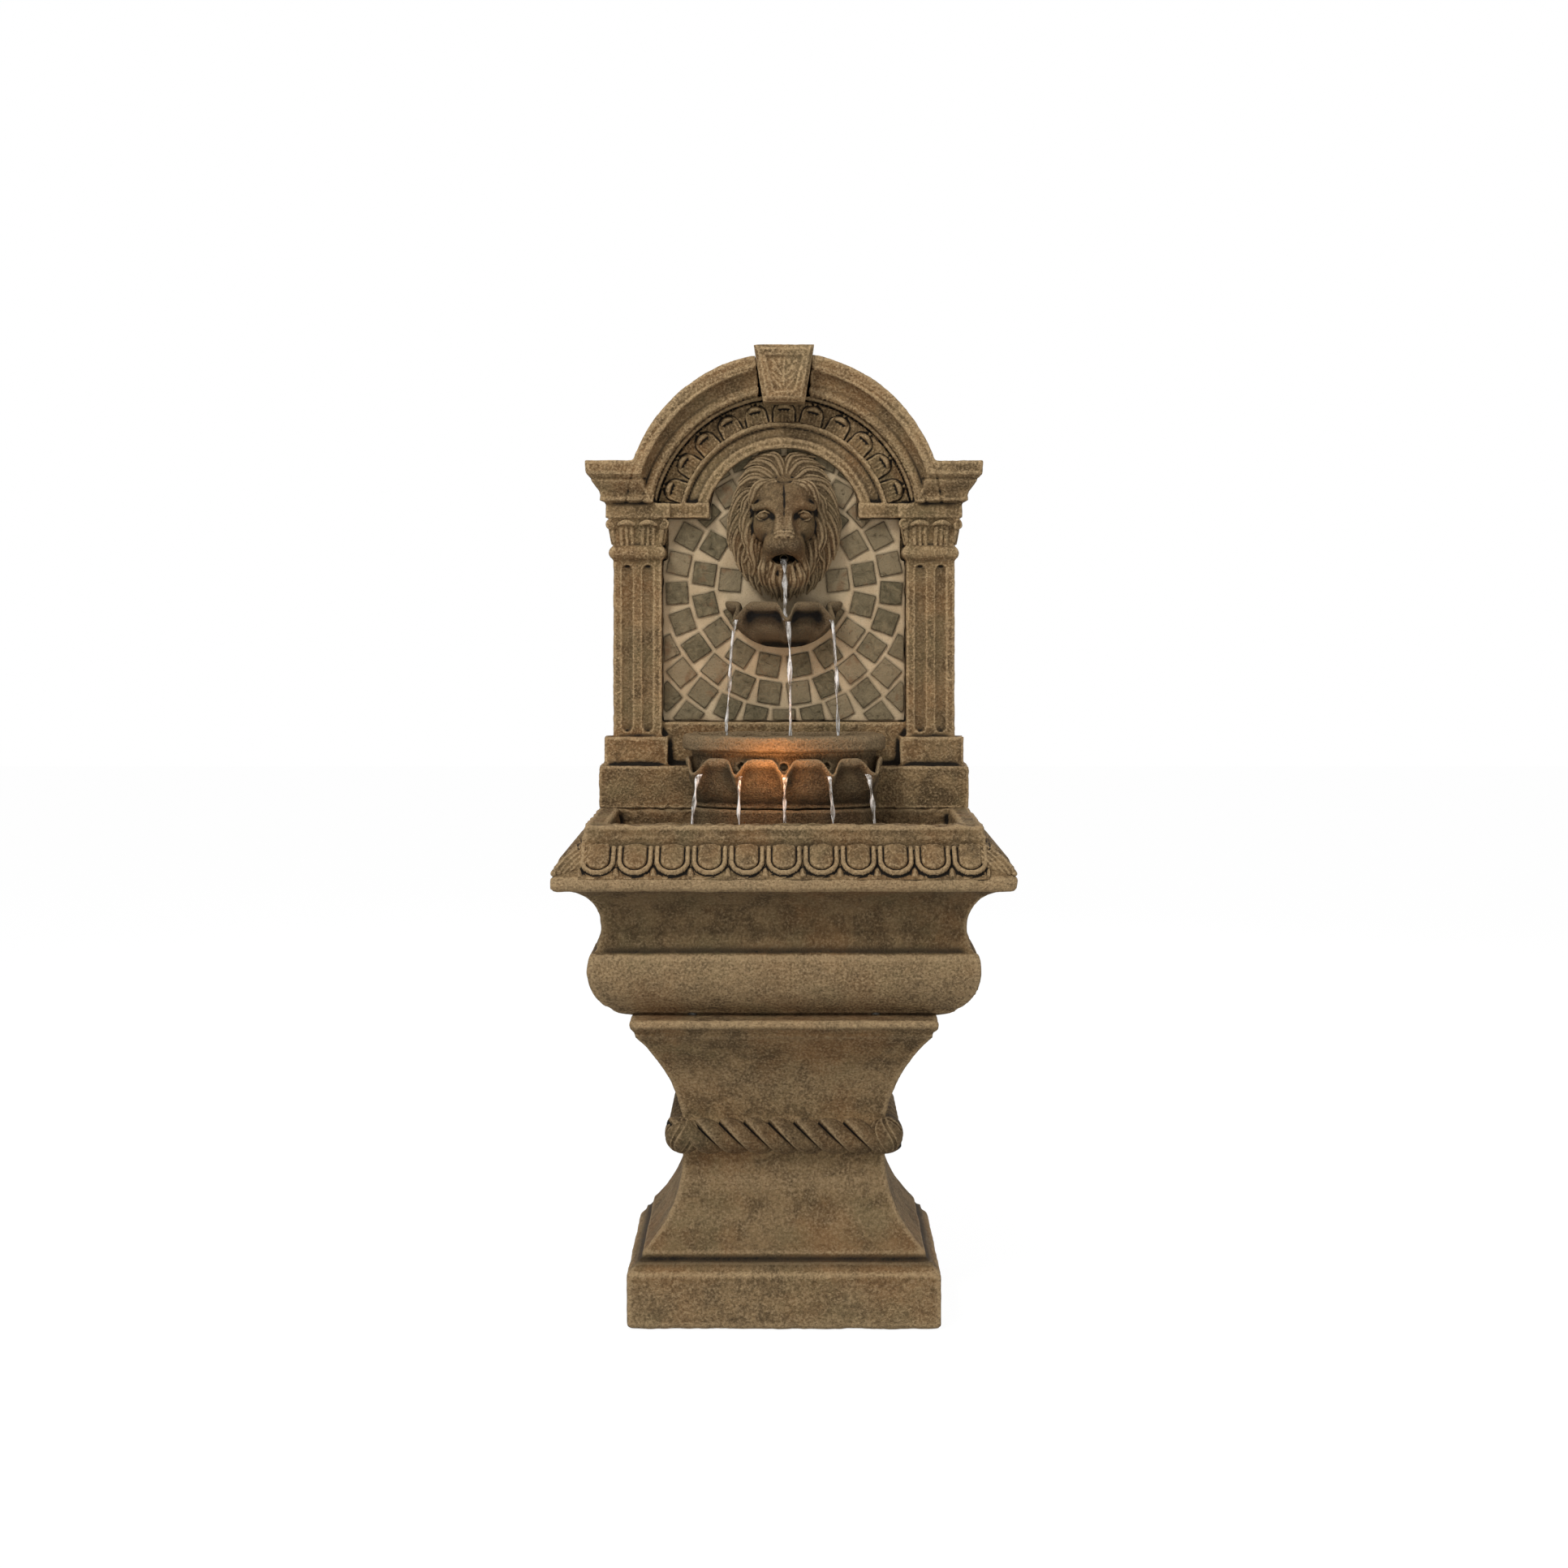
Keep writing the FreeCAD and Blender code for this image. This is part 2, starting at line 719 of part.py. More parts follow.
def egg_and_dart():
    """Egg-and-dart enrichment on the sloping band: collared eggs with darts between, and a leaf on each corner."""
    length = math.hypot(egg_band_run, egg_band_height)
    half = egg_width / 2
    bend_y = egg_foot_margin + half
    sink = -1.0

    def arch_wire(radius, level):
        points = [
            (-radius, length + overcut),
            (-radius, bend_y),
            ((0, bend_y - radius), (radius, bend_y)),
            (radius, length + overcut),
        ]
        edges, last = edges_along(points, lambda x, y: Vector(x, y, level))
        edges.append(Part.makeLine(last, edges[0].Vertexes[0].Point))
        return Part.Wire(edges)

    outer = Part.Face(arch_wire(half, sink)).extrude(Vector(0, 0, egg_collar_relief - sink))
    inner = Part.Face(arch_wire(half - egg_collar, sink - 1)).extrude(Vector(0, 0, egg_collar_relief - sink + 2))
    collar = outer.cut(inner)
    sections = ((1.0, sink), (0.9, egg_dome_relief * 0.6), (0.5, egg_dome_relief))
    dome = Part.makeLoft([arch_wire(egg_dome_radius * share, level) for share, level in sections], True, True)
    dart_half = dart_width / 2
    dart_x = egg_pitch / 2
    dart = band_plate(
        [
            (dart_x - dart_half, length + overcut),
            (dart_x - dart_half * 0.4, egg_foot_margin + 4.0),
            (dart_x + dart_half * 0.4, egg_foot_margin + 4.0),
            (dart_x + dart_half, length + overcut),
        ],
        sink,
        dart_relief,
    )
    within = box(-basin_width / 2, basin_width / 2, front_y, back_y, lip_z, rim_band_z)
    run = egg_band_run / length
    rise = egg_band_height / length
    pieces = []
    front_up = Vector(0, run, rise)
    for k in range(egg_count_front):
        start = Vector((k - (egg_count_front - 1) / 2) * egg_pitch, front_y, egg_z)
        shapes = [collar, dome] + ([dart] if k < egg_count_front - 1 else [])
        pieces += [band_place(shape, Vector(1, 0, 0), start, front_up) for shape in shapes]
    side_up = Vector(-run, 0, rise)
    for k in range(egg_count_side):
        start = Vector(basin_width / 2, front_y + egg_side_start + k * egg_pitch, egg_z)
        shapes = [collar, dome] + ([dart] if k < egg_count_side - 1 else [])
        for shape in shapes:
            pieces += both_sides(band_place(shape, Vector(0, 1, 0), start, side_up))
    foot = Vector(basin_width / 2 - corner_leaf_radius / 2, front_y + corner_leaf_radius / 2, egg_z)
    head = Vector(basin_width / 2 - egg_band_run, front_y + egg_band_run, rim_band_z)
    leaf = Part.makeCone(corner_leaf_radius * 0.6, corner_leaf_radius, (head - foot).Length * 1.2, foot, head - foot)
    pieces += both_sides(leaf)
    return [piece.common(within) for piece in pieces]


def bolt_y():
    return (hollow_front + cover_seat) / 2


def bolt_holes(z0, z1):
    radius = bolt_radius + bolt_hole_gap
    y = bolt_y()
    return [cylinder(radius, Vector(x, y, z0), Vector(x, y, z1)) for x in (-bolt_x, bolt_x)]


def hexagon(across_flats, x, y, z0, z1):
    corner = across_flats / math.sqrt(3)
    points = [
        Vector(x + corner * math.cos(math.pi / 3 * k), y + corner * math.sin(math.pi / 3 * k), z0) for k in range(7)
    ]
    return Part.Face(Part.makePolygon(points)).extrude(Vector(0, 0, z1 - z0))


def build_panel_bolts():
    """Two bolts that clamp the panel's feet to the trough's rear deck, each with washers and a nut."""
    pieces = []
    y = bolt_y()
    low = rim_z - bolt_flange
    high = rim_z + bolt_flange
    ring_gap = bolt_radius + bolt_hole_gap
    for x in (-bolt_x, bolt_x):
        head = hexagon(bolt_across_flats, x, y, low - washer_thickness - bolt_head_height, low - washer_thickness)
        tip = high + washer_thickness + bolt_head_height + 3.0
        shank = cylinder(bolt_radius, Vector(x, y, low - washer_thickness), Vector(x, y, tip))
        pieces.append(head.fuse(shank))
        pieces.append(tube(washer_radius, ring_gap, Vector(x, y, low - washer_thickness), Vector(x, y, low)))
        pieces.append(tube(washer_radius, ring_gap, Vector(x, y, high), Vector(x, y, high + washer_thickness)))
        nut_z = high + washer_thickness
        nut = hexagon(bolt_across_flats, x, y, nut_z, nut_z + bolt_head_height)
        bore = cylinder(bolt_radius + 0.05, Vector(x, y, nut_z - 1), Vector(x, y, nut_z + bolt_head_height + 1))
        pieces.append(nut.cut(bore))
    return pieces


def grommet_z():
    return rim_z - grommet_drop


def grommet_hole():
    z = grommet_z()
    inner = back_y - rear_wall
    radius = grommet_radius + fit_gap
    seat = grommet_flange_radius + fit_gap
    return [
        cylinder(radius, Vector(grommet_x, inner - 1, z), Vector(grommet_x, back_y + 1, z)),
        cylinder(seat, Vector(grommet_x, back_y - grommet_flange, z), Vector(grommet_x, back_y + 1, z)),
        cylinder(seat, Vector(grommet_x, inner - 1, z), Vector(grommet_x, inner + grommet_flange, z)),
    ]


def build_cord_grommet():
    z = grommet_z()
    inner = back_y - rear_wall
    outer_seat = back_y - grommet_flange
    sleeve = cylinder(grommet_radius, Vector(grommet_x, inner, z), Vector(grommet_x, back_y, z))
    front = cylinder(grommet_flange_radius, Vector(grommet_x, inner, z), Vector(grommet_x, inner + grommet_flange, z))
    rear = cylinder(grommet_flange_radius, Vector(grommet_x, outer_seat, z), Vector(grommet_x, back_y, z))
    bore = cylinder(grommet_bore, Vector(grommet_x, inner - overcut, z), Vector(grommet_x, back_y + 1, z))
    return sleeve.fuse([front, rear]).cut(bore).removeSplitter()


def panel_hollow(margin, y0, y1, foot):
    """Arched space inside the panel, or its cover's outline, grown by margin."""
    half = pilaster_outer - panel_wall - rear_cover_margin + margin
    body = box(-half, half, y0, y1, foot, cornice_z)
    return body.fuse(half_disc(arch_radius - panel_wall - rear_cover_margin + margin, y0, y1, arch_z))


def build_pilaster():
    """Right-hand pilaster with its flutes, astragal, capital and abacus."""
    shaft_front = back_y - pilaster_projection
    shaft = box(pilaster_inner, pilaster_outer, shaft_front, bed_back, pilaster_z, astragal_z)
    middle = (pilaster_inner + pilaster_outer) / 2
    low = pilaster_z + flute_end_margin
    high = astragal_z - flute_end_margin
    for x in (middle - flute_offset, middle + flute_offset):
        groove = cylinder(flute_radius, Vector(x, shaft_front, low), Vector(x, shaft_front, high))
        ends = [Part.makeSphere(flute_radius, Vector(x, shaft_front, z)) for z in (low, high)]
        shaft = shaft.cut(groove.fuse(ends))
    half = (pilaster_outer - pilaster_inner) / 2
    bulge = astragal_overhang
    mid_z = (astragal_z + capital_z) / 2
    ring = moulded_block(
        [(bulge, astragal_z), ((0, mid_z), (bulge, capital_z))],
        half + bulge,
        back_y - astragal_projection,
        bed_back,
    )
    bell = moulded_block(
        [(capital_flare, capital_z), ((capital_flare * 0.8, capital_z + capital_height * 0.55), (0, abacus_z))],
        half + capital_flare,
        back_y - abacus_projection + 3.0,
        bed_back,
    )
    for piece in (ring, bell):
        piece.translate(Vector(middle, 0, 0))
    abacus = box(abacus_inner, abacus_outer, back_y - abacus_projection, bed_back, abacus_z, cornice_z)
    return shaft.fuse([ring, bell, abacus])


def cornice_profile():
    fascia_z = cornice_top - cornice_fascia
    cove_foot = fascia_z - cornice_cove
    cove_inset = cornice_overhang - cornice_lower_overhang
    bend = math.sqrt(0.5)
    cove_mid = (cove_inset * bend, cove_foot + cornice_cove * (1 - bend))
    return [
        (cornice_overhang, cornice_z),
        (cove_inset, cornice_z + 3.0),
        (cove_inset, cove_foot),
        (cove_mid, (2.0, fascia_z)),
        (0, fascia_z),
        (0, cornice_top),
    ]


def mitre_keep(outer):
    """Prism on one side of the mitre between the arch hood and the cornice, right-hand half."""
    foot_x = math.sqrt(hood_inner**2 - (cornice_z - arch_z) ** 2)
    head_x = math.sqrt(arch_radius**2 - (cornice_top - arch_z) ** 2)
    slope = (head_x - foot_x) / cornice_height
    high = arch_z + arch_radius + overcut
    low = cornice_z - overcut
    far = basin_width if outer else 0.0
    points = [
        (foot_x + slope * (low - cornice_z), low),
        (foot_x + slope * (high - cornice_z), high),
        (far, high),
        (far, low),
    ]
    face = plate_outline(points, front_y)
    return face.extrude(Vector(0, basin_depth, 0))


def build_cornice():
    """Right-hand cornice return, mitred to the arch."""
    block = moulded_block(
        cornice_profile(),
        abacus_outer + cornice_overhang,
        back_y - abacus_projection - cornice_overhang,
        bed_back,
    )
    return block.common(mitre_keep(True))


def build_arch():
    """Half ring with the hood mould, the recessed ornament band and the inner bands, turned about the arch centre."""
    hood_front = back_y - abacus_projection - cornice_overhang
    hood_foot = back_y - abacus_projection - cornice_lower_overhang
    cove_outer = arch_radius - hood_fascia
    cove_inner = cove_outer - hood_cove
    bend = math.sqrt(0.5)
    cove_mid_y = hood_front + (hood_foot - hood_front) * bend
    roll_mid = (ornament_inner + roll_inner) / 2
    profile = [
        (arch_radius, bed_back),
        (arch_radius, hood_front),
        (cove_outer, hood_front),
        (cove_outer, hood_front + 2.0),
        ((cove_outer - hood_cove * (1 - bend), cove_mid_y + 1.0), (cove_inner, hood_foot)),
        (hood_inner, hood_foot),
        (hood_inner, back_y - groove_projection),
        (ornament_outer, back_y - groove_projection),
        (ornament_outer, back_y - ornament_projection),
        (ornament_inner, back_y - ornament_projection),
        ((roll_mid, back_y - roll_projection), (roll_inner, back_y - inner_cove_projection)),
        (inner_cove_inner, back_y - inner_cove_projection),
        (inner_cove_inner, back_y - inner_band_projection),
        (arch_opening, back_y - inner_band_projection),
        (arch_opening, bed_back),
    ]
    edges, last = edges_along(profile, lambda radius, y: Vector(radius, y, arch_z))
    edges.append(Part.makeLine(last, edges[0].Vertexes[0].Point))
    ring = closed_face(edges).revolve(Vector(0, 0, arch_z), Vector(0, 1, 0), -180)
    above = box(-arch_radius, arch_radius, front_y, back_y, cornice_z, arch_z + arch_radius + 1)
    ring = ring.common(above)
    hood = mitre_keep(True)
    low_hood = box(roll_inner, basin_width, front_y, bed_back, cornice_z - 1, cornice_top)
    for cutter in both_sides(hood.common(low_hood)):
        ring = ring.cut(cutter)
    return ring


def build_leaves():
    """Curled leaf tongues set round the ornament band."""
    leaf_front = back_y - ornament_projection - leaf_relief
    seat = back_y - ornament_projection
    outer = ornament_outer - 3.0
    inner = ornament_inner + 2.0
    half = leaf_width / 2
    outline = [
        (-half * 0.7, arch_z + inner),
        (-half, arch_z + outer - half),
        ((0, arch_z + outer), (half, arch_z + outer - half)),
        (half * 0.7, arch_z + inner),
    ]
    tongue = plate_outline(outline, leaf_front).extrude(Vector(0, seat - leaf_front, 0))
    slope_drop = leaf_relief - 2.5
    wedge_points = [
        Vector(-half - 1, leaf_front - 1, arch_z + inner - 1),
        Vector(-half - 1, leaf_front + slope_drop, arch_z + inner - 1),
        Vector(-half - 1, leaf_front, arch_z + outer - half * 0.8),
        Vector(-half - 1, leaf_front - 1, arch_z + outer - half * 0.8),
    ]
    wedge = Part.Face(Part.makePolygon(wedge_points + wedge_points[:1])).extrude(Vector(leaf_width + 2, 0, 0))
    leaf = tongue.cut(wedge)
    leaves = []
    for k in range(leaf_count):
        turn = leaf_span * (k / (leaf_count - 1) - 0.5)
        copy = leaf.copy()
        copy.rotate(Vector(0, 0, arch_z), Vector(0, 1, 0), turn)
        leaves.append(copy)
    return leaves


def build_back_panel():
    """One casting: slab, plinth blocks, sill, pilasters, cornice and arch, hollow from behind."""
    slab = box(-pilaster_outer, pilaster_outer, bed_back, back_y, upper_block_z, cornice_z)
    crown = half_disc(arch_radius, bed_back, back_y, arch_z)
    lower_block = box(-rim_half_width, rim_half_width, panel_front, back_y, rim_z, upper_block_z)
    sill = box(-pilaster_inner - 1, pilaster_inner + 1, wall_front, bed_back, upper_block_z, sill_z)
    right = [
        box(
            upper_block_inner,
            upper_block_outer,
            back_y - upper_block_projection,
            bed_back,
            upper_block_z,
            pilaster_z,
        ),
        box(springer_inner, abacus_inner, back_y - springer_projection, bed_back, abacus_z, cornice_z),
        build_pilaster(),
        build_cornice(),
    ]
    pieces = [crown, lower_block, sill, build_arch()]
    for piece in right:
        pieces += both_sides(piece)
    body = slab.fuse(pieces)
    body = body.fuse(build_leaves())
    pocket = Part.Face(keystone_outline(0, front_y)).extrude(Vector(0, keystone_seat - front_y, 0))
    body = body.cut(pocket)
    hollow = panel_hollow(0.0, hollow_front, back_y + 1, rim_z - 1)
    foot = box(
        pilaster_outer - panel_wall - rear_cover_margin - bolt_flange_width,
        pilaster_outer,
        hollow_front,
        cover_seat,
        rim_z,
        rim_z + bolt_flange,
    )
    for side in both_sides(foot):
        hollow = hollow.cut(side)
    body = body.cut(hollow)
    body = body.cut(panel_hollow(rear_cover_overlap, cover_seat, back_y + 1, rear_cover_foot()))
    holes = bolt_holes(rim_z, rim_z + bolt_flange)
    elbow_way = elbow_radius + hose_pass_gap
    holes.append(cylinder(elbow_way, Vector(0, bed_back - 1, mouth_z), Vector(0, hollow_front + 1, mouth_z)))
    holes += [cylinder(cover_screw_radius, at - Vector(0, cover_screw_length, 0), at) for at in cover_screw_places()]
    return body.cut(Part.makeCompound(holes)).removeSplitter()


def rear_cover_foot():
    return rim_z + bolt_flange + 6.0


def build_rear_cover():
    shrink = rear_cover_overlap - running_gap
    plate = panel_hollow(shrink, cover_seat, cover_seat + rear_cover_thickness, rear_cover_foot() + running_gap)
    holes = []
    for at in cover_screw_places():
        holes.append(screw_shape(at, 0.2))
    return plate.cut(Part.makeCompound(holes)).removeSplitter()


def cover_screw_places():
    """Screw points on the rebate behind the panel, on the outer face of the cover."""
    x = pilaster_outer - panel_wall - rear_cover_margin + rear_cover_overlap / 2
    y = cover_seat + rear_cover_thickness
    span = arch_z - rear_cover_foot()
    places = [Vector(side * x, y, rear_cover_foot() + span * share) for side in (-1, 1) for share in (0.1, 0.5, 0.9)]
    radius = arch_radius - panel_wall - rear_cover_margin + rear_cover_overlap / 2
    for angle in (-45.0, 45.0):
        lean = math.radians(angle)
        places.append(Vector(radius * math.sin(lean), y, arch_z + radius * math.cos(lean)))
    return places


def screw_shape(at, grow):
    """Countersunk screw entering the panel's back."""
    head_depth = cover_screw_head_radius - cover_screw_radius
    shank_end = at - Vector(0, cover_screw_length - 1.0, 0)
    shank = cylinder(cover_screw_radius + grow - 0.1, shank_end, at)
    head = Part.makeCone(
        cover_screw_radius + grow,
        cover_screw_head_radius + grow,
        head_depth,
        at - Vector(0, head_depth, 0),
        Vector(0, 1, 0),
    )
    return shank.fuse(head)


def build_rear_cover_screws():
    return [screw_shape(at, 0.0) for at in cover_screw_places()]


def keystone_outline(inset, y):
    top = arch_z + arch_radius + keystone_rise - inset
    foot = arch_z + arch_radius + keystone_rise - keystone_height + inset
    half_top = keystone_top_width / 2 - inset
    half_foot = keystone_foot_width / 2 - inset
    return Part.makePolygon(
        [Vector(x, y, z) for x, z in ((-half_top, top), (half_top, top), (half_foot, foot), (-half_foot, foot), (-half_top, top))]
    )


def build_keystone():
    """Wedge-shaped stone set in a pocket of the arch, with bevelled edges and a sunk front panel."""
    front = back_y - keystone_projection
    shoulder = front + keystone_bevel
    body = Part.makeLoft([keystone_outline(0, keystone_seat), keystone_outline(0, shoulder)], True, True)
    nose = Part.makeLoft([keystone_outline(0, shoulder), keystone_outline(keystone_bevel, front)], True, True)
    sunk = Part.makeLoft(
        [
            keystone_outline(keystone_bevel + keystone_border, front - 1),
            keystone_outline(keystone_bevel + keystone_border + 1, front + keystone_recess),
        ],
        True,
        True,
    )
    return body.fuse(nose).cut(sunk).removeSplitter()


def bed_outline(y, gap):
    """Face of the grout bed: between the pilasters, round their capitals, and up into the arch."""
    half = pilaster_inner - gap
    narrow = half - max(astragal_overhang, capital_flare)
    shelf = astragal_z - gap
    top = abacus_z - gap
    throat = arch_opening - gap
    radius = throat
    points = [
        (half, sill_z + gap),
        (half, shelf),
        (narrow, shelf),
        (narrow, top),
        (throat, top),
        (throat, arch_z),
        ((0, arch_z + radius), (-throat, arch_z)),
        (-throat, top),
        (-narrow, top),
        (-narrow, shelf),
        (-half, shelf),
        (-half, sill_z + gap),
    ]
    return plate_outline(points, y)


def build_mosaic_bed():
    slab = bed_outline(bed_front, running_gap).extrude(Vector(0, bed_thickness, 0))
    way = cylinder(elbow_radius + hose_pass_gap, Vector(0, bed_front - 1, mouth_z), Vector(0, bed_back + 1, mouth_z))
    return slab.cut(way)


def mask_footprint(y0, y1, grow):
    """Prism over the lion mask's outline on the panel."""
    wide = mask_half_width + grow
    tall = mask_half_height + grow
    ellipse = Part.Ellipse(Vector(0, tall, 0), Vector(wide, 0, 0), Vector(0, 0, 0))
    face = Part.Face(Part.Wire(ellipse.toShape()))
    prism = face.extrude(Vector(0, 0, y1 - y0))
    prism.rotate(Vector(0, 0, 0), Vector(1, 0, 0), 90)
    prism.translate(Vector(0, y1, mask_z))
    return prism


def build_slate_tiles():
    """Fan mosaic: rings of square tiles round a centre, cut to the bed and round what stands on it."""
    fan_z = sill_z + fan_centre_above_sill
    tile_front = bed_front - tile_thickness
    field = bed_outline(tile_front, tile_edge_margin).extrude(Vector(0, tile_thickness, 0))
    keep_out = [
        mask_footprint(tile_front - 1, bed_front + 1, tile_clearance),
        half_bowl_footprint(tile_front - 1, bed_front + 1, tile_clearance),
    ]
    tiles = []
    half = tile_size / 2
    for ring, pitch in enumerate(tile_pitch_by_ring):
        radius = tile_ring_first + ring * tile_ring_step
        step = math.degrees(pitch / radius)
        start = 0.0 if ring == 3 else step / 2
        count = int((180.0 - start) / step) + 1
        for sign in (-1, 1):
            for k in range(count):
                turn = start + k * step
                if sign < 0 and turn == 0.0:
                    continue
                tile = box(-half, half, tile_front, bed_front, fan_z - radius - half, fan_z - radius + half)
                tile.rotate(Vector(0, 0, fan_z), Vector(0, 1, 0), -sign * turn)
                tile = field.common(tile)
                for stone in keep_out:
                    if tile.Solids:
                        tile = tile.cut(stone)
                tiles += [s for s in tile.Solids if s.Volume / tile_thickness > tile_least_area]
    return tiles


def half_bowl_footprint(y0, y1, grow):
    """Prism over the outline that the upper bowl covers on the panel."""
    rim = sill_z + upper_bowl_rim_above_sill
    reach = upper_bowl_radius + grow
    foot = upper_bowl_radius * bowl_foot_share + grow
    low = rim - upper_bowl_height - grow
    side = upper_bowl_radius * bowl_side_share + grow
    side_z = rim - upper_bowl_height * (1 - bowl_side_rise)
    points = [
        (-reach, rim + grow),
        (reach, rim + grow),
        ((side, side_z), (foot, low)),
        (-foot, low),
        ((-side, side_z), (-reach, rim + grow)),
    ]
    return plate_outline(points, y0).extrude(Vector(0, y1 - y0, 0))


def build_lion_mask():
    """Lion head in high relief: mane, skull, brows, muzzle, jaw and beard, with the water way through the mouth."""
    wide = mask_half_width
    tall = mask_half_height
    deep = mask_projection

    def form(x, out, up, across, depth, height):
        """Ellipsoid placed and sized in shares of the mask's width, projection and height."""
        centre = Vector(x * wide, bed_front - out * deep, mask_z + up * tall)
        return ellipsoid(centre, across * wide, depth * deep, height * tall)

    skull = form(0, 0.66, 0.16, 0.57, 0.32, 0.56)
    muzzle = form(0, 0.62, -0.31, 0.36, 0.38, 0.21)
    bridge = form(0, 0.64, -0.02, 0.20, 0.34, 0.33)
    nose = form(0, 0.915, -0.19, 0.17, 0.085, 0.08)
    jaw = form(0, 0.47, -0.60, 0.28, 0.28, 0.10)
    beard = form(0, 0.30, -0.76, 0.45, 0.28, 0.24)
    forelock = form(0, 0.43, 0.60, 0.48, 0.28, 0.31)
    forms = [skull, muzzle, bridge, nose, jaw, beard, forelock]
    for side in (-1, 1):
        brow = form(side * 0.27, 0.81, 0.26, 0.23, 0.13, 0.09)
        cheek = form(side * 0.35, 0.66, -0.10, 0.23, 0.23, 0.19)
        forms += [brow, cheek]
    mane = form(0, 0, 0, 1.0, mask_relief / deep, 1.0)
    body = mane.fuse(forms)
    behind = box(-2 * wide, 2 * wide, bed_front, bed_front + 2 * deep, mask_z - 2 * tall, mask_z + 2 * tall)
    body = body.cut(behind)
    way_start = Vector(0, bed_front - 2 * deep, mouth_z)
    way = cylinder(spout_radius + fit_gap, way_start, Vector(0, bed_front + 1, mouth_z))
    mouth = form(0, 0.89, -0.447, 0.23, 0.25, 0.073)
    return body.cut(way).cut(mouth)


def bowl_profile(radius, height, foot):
    """Half section of a round bowl: outside in (radius, height)."""
    side = (radius * bowl_side_share, height * bowl_side_rise)
    return [(0, 0), (foot, 0), (side, (radius, height)), (0, height)]


def revolved_bowl(radius, height, foot, centre):
    edges, last = edges_along(bowl_profile(radius, height, foot), lambda r, z: Vector(r, 0, z))
    edges.append(Part.makeLine(last, edges[0].Vertexes[0].Point))
    bowl = closed_face(edges).revolve(Vector(0, 0, 0), Vector(0, 0, 1), 360)
    bowl.translate(centre)
    return bowl


def spout_at(point, out, z, width, reach, depth, wall):
    """Gutter that carries water out of a bowl's rim, and the channel to cut through the rim."""
    half = width / 2
    drop = depth * 0.35
    outline = [
        (-half - wall, z),
        (-half - wall, z - depth + half),
        ((0, z - depth - wall - drop), (half + wall, z - depth + half)),
        (half + wall, z),
    ]
    inner = [
        (-half, z + 1),
        (-half, z - depth + half),
        ((0, z - depth), (half, z - depth + half)),
        (half, z + 1),
    ]
    back = 14.0
    turn = math.degrees(math.atan2(out.x, -out.y))
    shapes = []
    for points, start, end in ((outline, -reach, back), (inner, -reach - 1, back + 12)):
        shape = plate_outline(points, start).extrude(Vector(0, end - start, 0))
        shape.rotate(Vector(0, 0, 0), Vector(0, 0, 1), turn)
        shape.translate(Vector(point.x, point.y, 0))
        shapes.append(shape)
    return shapes


def build_upper_bowl():
    """Half bowl on the panel that catches the lion's water and spills it at three lips."""
    rim = sill_z + upper_bowl_rim_above_sill
    centre = Vector(0, bed_front, rim - upper_bowl_height)
    outer_foot = upper_bowl_radius * bowl_foot_share
    outer = revolved_bowl(upper_bowl_radius, upper_bowl_height, outer_foot, centre)
    inside = revolved_bowl(
        upper_bowl_radius - upper_bowl_wall,
        upper_bowl_height,
        outer_foot - upper_bowl_wall,
        centre + Vector(0, 0, upper_bowl_wall),
    )
    front = box(-200, 200, bed_front - 200, bed_front, rim - 200, rim)
    body = outer
    channels = []
    for angle in (-upper_spout_angle, 0.0, upper_spout_angle):
        lean = math.radians(angle)
        out = Vector(math.sin(lean), -math.cos(lean), 0)
        point = Vector(0, bed_front, 0) + out * upper_bowl_radius
        gutter, channel = spout_at(
            point, out, rim, upper_spout_width, upper_spout_reach, upper_notch_depth, upper_bowl_wall / 2
        )
        body = body.fuse(gutter)
        channels.append(channel)
    back_plate = box(-200, 200, bed_front - upper_bowl_wall, bed_front, rim - 200, rim)
    body = body.cut(inside.cut(back_plate)).common(front)
    for channel in channels:
        body = body.cut(channel.cut(back_plate))
    return body.removeSplitter()


def build_collector_drum():
    """Bowed collector on the panel: a heavy lip round an open top, a floor, and outlets under the lip."""
    drum = bow_prism(0, panel_front, drum_z, drum_top)
    lip = bow_prism(drum_lip_overhang, panel_front, drum_top - drum_lip_height, drum_top)
    lip_edges = [e for e in lip.Edges if abs(e.BoundBox.ZLength) < 1e-6 and e.BoundBox.YMin < panel_front - 2]
    lip = lip.makeFillet(drum_lip_height * 0.28, lip_edges)
    behind = box(-drum_half_width, drum_half_width, panel_front, wall_front, upper_block_z, drum_top)
    inside = bow_prism(-drum_wall, wall_front - drum_wall, drum_z + drum_floor, drum_top + 1)
    body = drum.fuse([lip, behind]).cut(inside)
    outlets = []
    for x in spill_positions:
        point, out = bow_point(x, 0)
        z = drum_top - drum_outlet_drop
        start = Vector(point.x, point.y, z) - out * (drum_wall + 8.0)
        outlets.append(cylinder(drum_outlet_radius, start, Vector(point.x, point.y, z) + out * 6.0))
    return body.cut(Part.makeCompound(outlets)).removeSplitter()


def bow_loft(low_offset, high_offset, z0, z1):
    wires = []
    for offset, z in ((low_offset, z0), (high_offset, z1)):
        wire = bow_outline(offset, panel_front)
        wire.translate(Vector(0, 0, z))
        wires.append(wire)
    return Part.makeLoft(wires, True, True)


